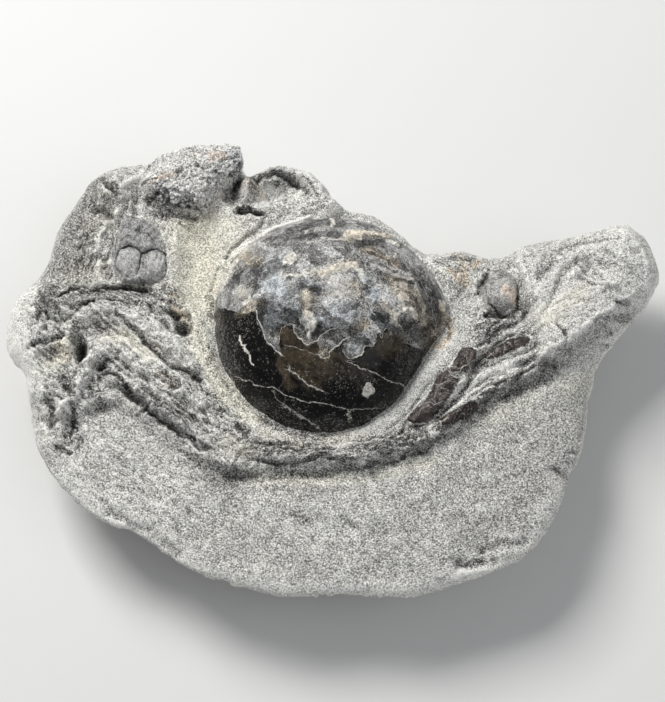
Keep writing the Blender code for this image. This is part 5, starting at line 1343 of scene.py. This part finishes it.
def hand_finish():
    """Coarse grey crystals, with iron stain and bluish dark ones, a smooth pale skin on its edge, and painted shade
    under its front foot and in its hollows.
    """
    f = Finish("crystalline_claw", {"Specular IOR Level": 0.5})
    grit, crystal = f.grain(0.2), f.grain(0.6)
    fleck, veil, mottle = f.cloud(0.5, 4.0, 0.7), f.cloud(1.2, 4.0, 0.65), f.cloud(2.4, 4.0, 0.6)
    skin, dirt_and_shade, end = f.read("skin"), f.read("dirt_and_shade"), f.read("end")
    # dark follows the dirt marks, in part painted shade under the block
    dark = f.step(0.36, 0.6, vary(dirt_and_shade * 0.8 + end * 0.5, (veil, 1.0), (f.grain(0.3), 0.7)))
    tone = vary(0.78 - skin * 0.06, (grit, 0.78), (crystal, 0.3 - skin * 0.3), (fleck, 0.4 - skin * 0.2), (mottle, 0.2))
    # the relief term paints shade into hollows and light onto rises
    tone = tone + f.limit(f.read("fine") * 1.2 + f.read("broad") * 0.12 + 0.5) * 0.6 - 0.3 - dark * 0.34
    colour = f.ramp(tone, [(0.0, (0.010, 0.010, 0.011)), (1.0, (0.88, 0.87, 0.84)), (0.25, (0.075, 0.072, 0.070)),
                           (0.48, (0.235, 0.228, 0.215)), (0.7, (0.48, 0.47, 0.45))])
    stained = f.step(0.3, 0.8, vary(f.read("rust"), (f.cloud(0.9, 3.0), 1.6)))
    colour = f.tinted(stained * 0.5, colour, (1.0, 0.80, 0.66))
    colour = f.tinted(end * 0.4, colour, (0.80, 0.88, 1.0))
    rough = f.limit(0.85 - crystal * 0.35 - dark * 0.15)
    return f.finish(colour, rough, 0.4 * crystal + 0.5 * fleck + 0.2 * grit, 0.25)


HAND_FINISH = hand_finish()
hand = make_hand(HAND_FINISH)
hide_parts("left_claw_hand")
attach(hand, "root")


# ---------------------------------------------------------------- grit and crystals
# Angular grains of mudstone that the preparation left standing on the worked face and on the legs, and the
# coarse crystals of the claw's block. Each one is rooted half its depth in the surface that carries it.

GRAIN_INPUTS = {"Surface": "Geometry", "Field": "String", "Grains per square metre": "Float", "Smallest": "Float",
                "Largest": "Float", "Roughness": "Float", "Seed": "Int", "Finish": "Material"}


def grains_tree():
    """Geometry Nodes that strew angular grains over a surface, as densely as one of its fields says."""
    tree = bpy.data.node_groups.new("strewn_grains", "GeometryNodeTree")
    for name, kind in GRAIN_INPUTS.items():
        tree.interface.new_socket(name, in_out="INPUT", socket_type="NodeSocket" + kind)
    tree.interface.new_socket("Grains", in_out="OUTPUT", socket_type="NodeSocketGeometry")

    def node(kind, settings, sockets, output=0):
        return add_node(tree, kind, settings, sockets)[output]

    def varied(low, high, seed):
        """Random vector for each grain, with each coordinate between two values."""
        sockets = {0: (low,) * 3, 1: (high,) * 3, "Seed": seed}
        return node("FunctionNodeRandomValue", {"data_type": "FLOAT_VECTOR"}, sockets)

    given = tree.nodes.new("NodeGroupInput").outputs
    seed = given["Seed"]
    share = node("GeometryNodeInputNamedAttribute", {"data_type": "FLOAT"}, {"Name": given["Field"]})
    density = node("ShaderNodeMath", {"operation": "MULTIPLY"}, {0: share, 1: given["Grains per square metre"]})
    places = node("GeometryNodeDistributePointsOnFaces", {},
                  {"Mesh": given["Surface"], "Density": density, "Seed": seed})
    grain = node("GeometryNodeMeshIcoSphere", {}, {"Radius": 1.0, "Subdivisions": 1})
    size = node("FunctionNodeRandomValue", {"data_type": "FLOAT"},
                {2: given["Smallest"], 3: given["Largest"], "Seed": seed}, 1)
    scale = node("ShaderNodeVectorMath", {"operation": "SCALE"}, {0: varied(0.6, 1.3, 3), "Scale": size})
    strewn = node("GeometryNodeInstanceOnPoints", {},
                  {"Points": places, "Instance": grain, "Rotation": varied(0.0, 6.28, 5), "Scale": scale})
    whole = node("GeometryNodeRealizeInstances", {}, {0: strewn})
    dents = node("ShaderNodeTexNoise", {}, {"Scale": 4000.0, "Detail": 0.0}, "Color")
    centred = node("ShaderNodeVectorMath", {"operation": "SUBTRACT"}, {0: dents, 1: (0.5, 0.5, 0.5)})
    offset = node("ShaderNodeVectorMath", {"operation": "SCALE"}, {0: centred, "Scale": given["Roughness"]})
    rough = node("GeometryNodeSetPosition", {}, {"Geometry": whole, "Offset": offset})
    finished = node("GeometryNodeSetMaterial", {}, {"Geometry": rough, "Material": given["Finish"]})
    tree.links.new(finished, tree.nodes.new("NodeGroupOutput").inputs["Grains"])
    return tree


GRAINS = grains_tree()


def strew(name, hosts, field, per_square_mm, smallest, largest, seed, finish):
    """One plain piece with the grains of several host pieces."""
    joined = bmesh.new()
    for host in hosts:
        joined.from_mesh(host.data)
    mesh = bpy.data.meshes.new(name)
    joined.to_mesh(mesh)
    joined.free()
    surface = set_out(name, mesh)
    modifier = surface.modifiers.new(name, "NODES")
    modifier.node_group = GRAINS
    values = {"Field": field, "Grains per square metre": per_square_mm / MM ** 2, "Smallest": smallest * MM,
              "Largest": largest * MM, "Roughness": largest * MM, "Seed": seed, "Finish": finish}
    for item in GRAINS.interface.items_tree:
        if item.name in values:
            modifier[item.identifier] = values[item.name]
    strewn = bpy.data.meshes.new_from_object(surface.evaluated_get(bpy.context.evaluated_depsgraph_get()))
    surface.modifiers.remove(modifier)
    surface.data = strewn
    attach(surface, "root")


GRITTY_LEGS = [bpy.data.objects[leg + "_fossil"] for leg in ("left_leg_1", "left_leg_2", "left_leg_3", "hind_leg")]
strew("stone_grit", [stone] + GRITTY_LEGS, "rugged", 1.2, 0.06, 0.19, 4, STONE)
strew("claw_crystals", [hand], "crystals", 3.5, 0.09, 0.26, 9, HAND_FINISH)


# ---------------------------------------------------------------- floor, light and camera
# The part lies on a wide pale floor. A small lamp at its front left casts the shadows, which a large one at its
# right and the sky soften. The camera looks steeply down on the crab from behind.

def soft_lamp(name, place, target, size, watts, colour):
    """Square area lamp that looks at a target; places are in metres."""
    lamp = bpy.data.lights.new(name, "AREA")
    lamp.size = size
    lamp.energy = watts
    lamp.color = colour
    holder = set_out(name, lamp)
    holder.location = place
    holder.rotation_euler = (Vector(target) - Vector(place)).to_track_quat("-Z", "Y").to_euler()


soft_lamp("key_lamp", (-0.30, 0.38, 0.54), (0, 0, 0.02), 0.32, 5.5, (1.0, 0.99, 0.97))
soft_lamp("fill_lamp", (0.6, -0.3, 0.75), (0, 0, 0.02), 0.8, 2.2, (0.97, 0.98, 1.0))
world = bpy.data.worlds.new("studio")
world.use_nodes = True
sky = world.node_tree.nodes["Background"].inputs
sky["Color"].default_value = (0.8, 0.82, 0.85, 1.0)
sky["Strength"].default_value = 0.30
bpy.context.scene.world = world

floor_finish = Finish("pale_floor", {"Base Color": (0.72, 0.72, 0.71, 1.0), "Roughness": 0.9})
floor_mesh = bpy.data.meshes.new("floor")
FLOOR_REACH = 4.0
floor_corners = [(x * FLOOR_REACH, y * FLOOR_REACH, 0.0) for x, y in ((-1, -1), (1, -1), (1, 1), (-1, 1))]
floor_mesh.from_pydata(floor_corners, [], [(0, 1, 2, 3)])
floor_mesh.materials.append(floor_finish.material)
floor = set_out("floor", floor_mesh)

camera_lens = bpy.data.cameras.new("camera")
camera_lens.lens = 85.0
camera_lens.clip_start = 0.01
camera = set_out("camera", camera_lens)
CAMERA_ELEVATION = math.radians(68.0)
CAMERA_DISTANCE = 0.331
TARGET_HEIGHT = 0.022
camera.location = (0.0, -CAMERA_DISTANCE * math.cos(CAMERA_ELEVATION),
                   TARGET_HEIGHT + CAMERA_DISTANCE * math.sin(CAMERA_ELEVATION))
camera.rotation_euler = (math.pi / 2 - CAMERA_ELEVATION, 0.0, 0.0)
bpy.context.scene.camera = camera
bpy.context.scene.view_settings.view_transform = "Standard"
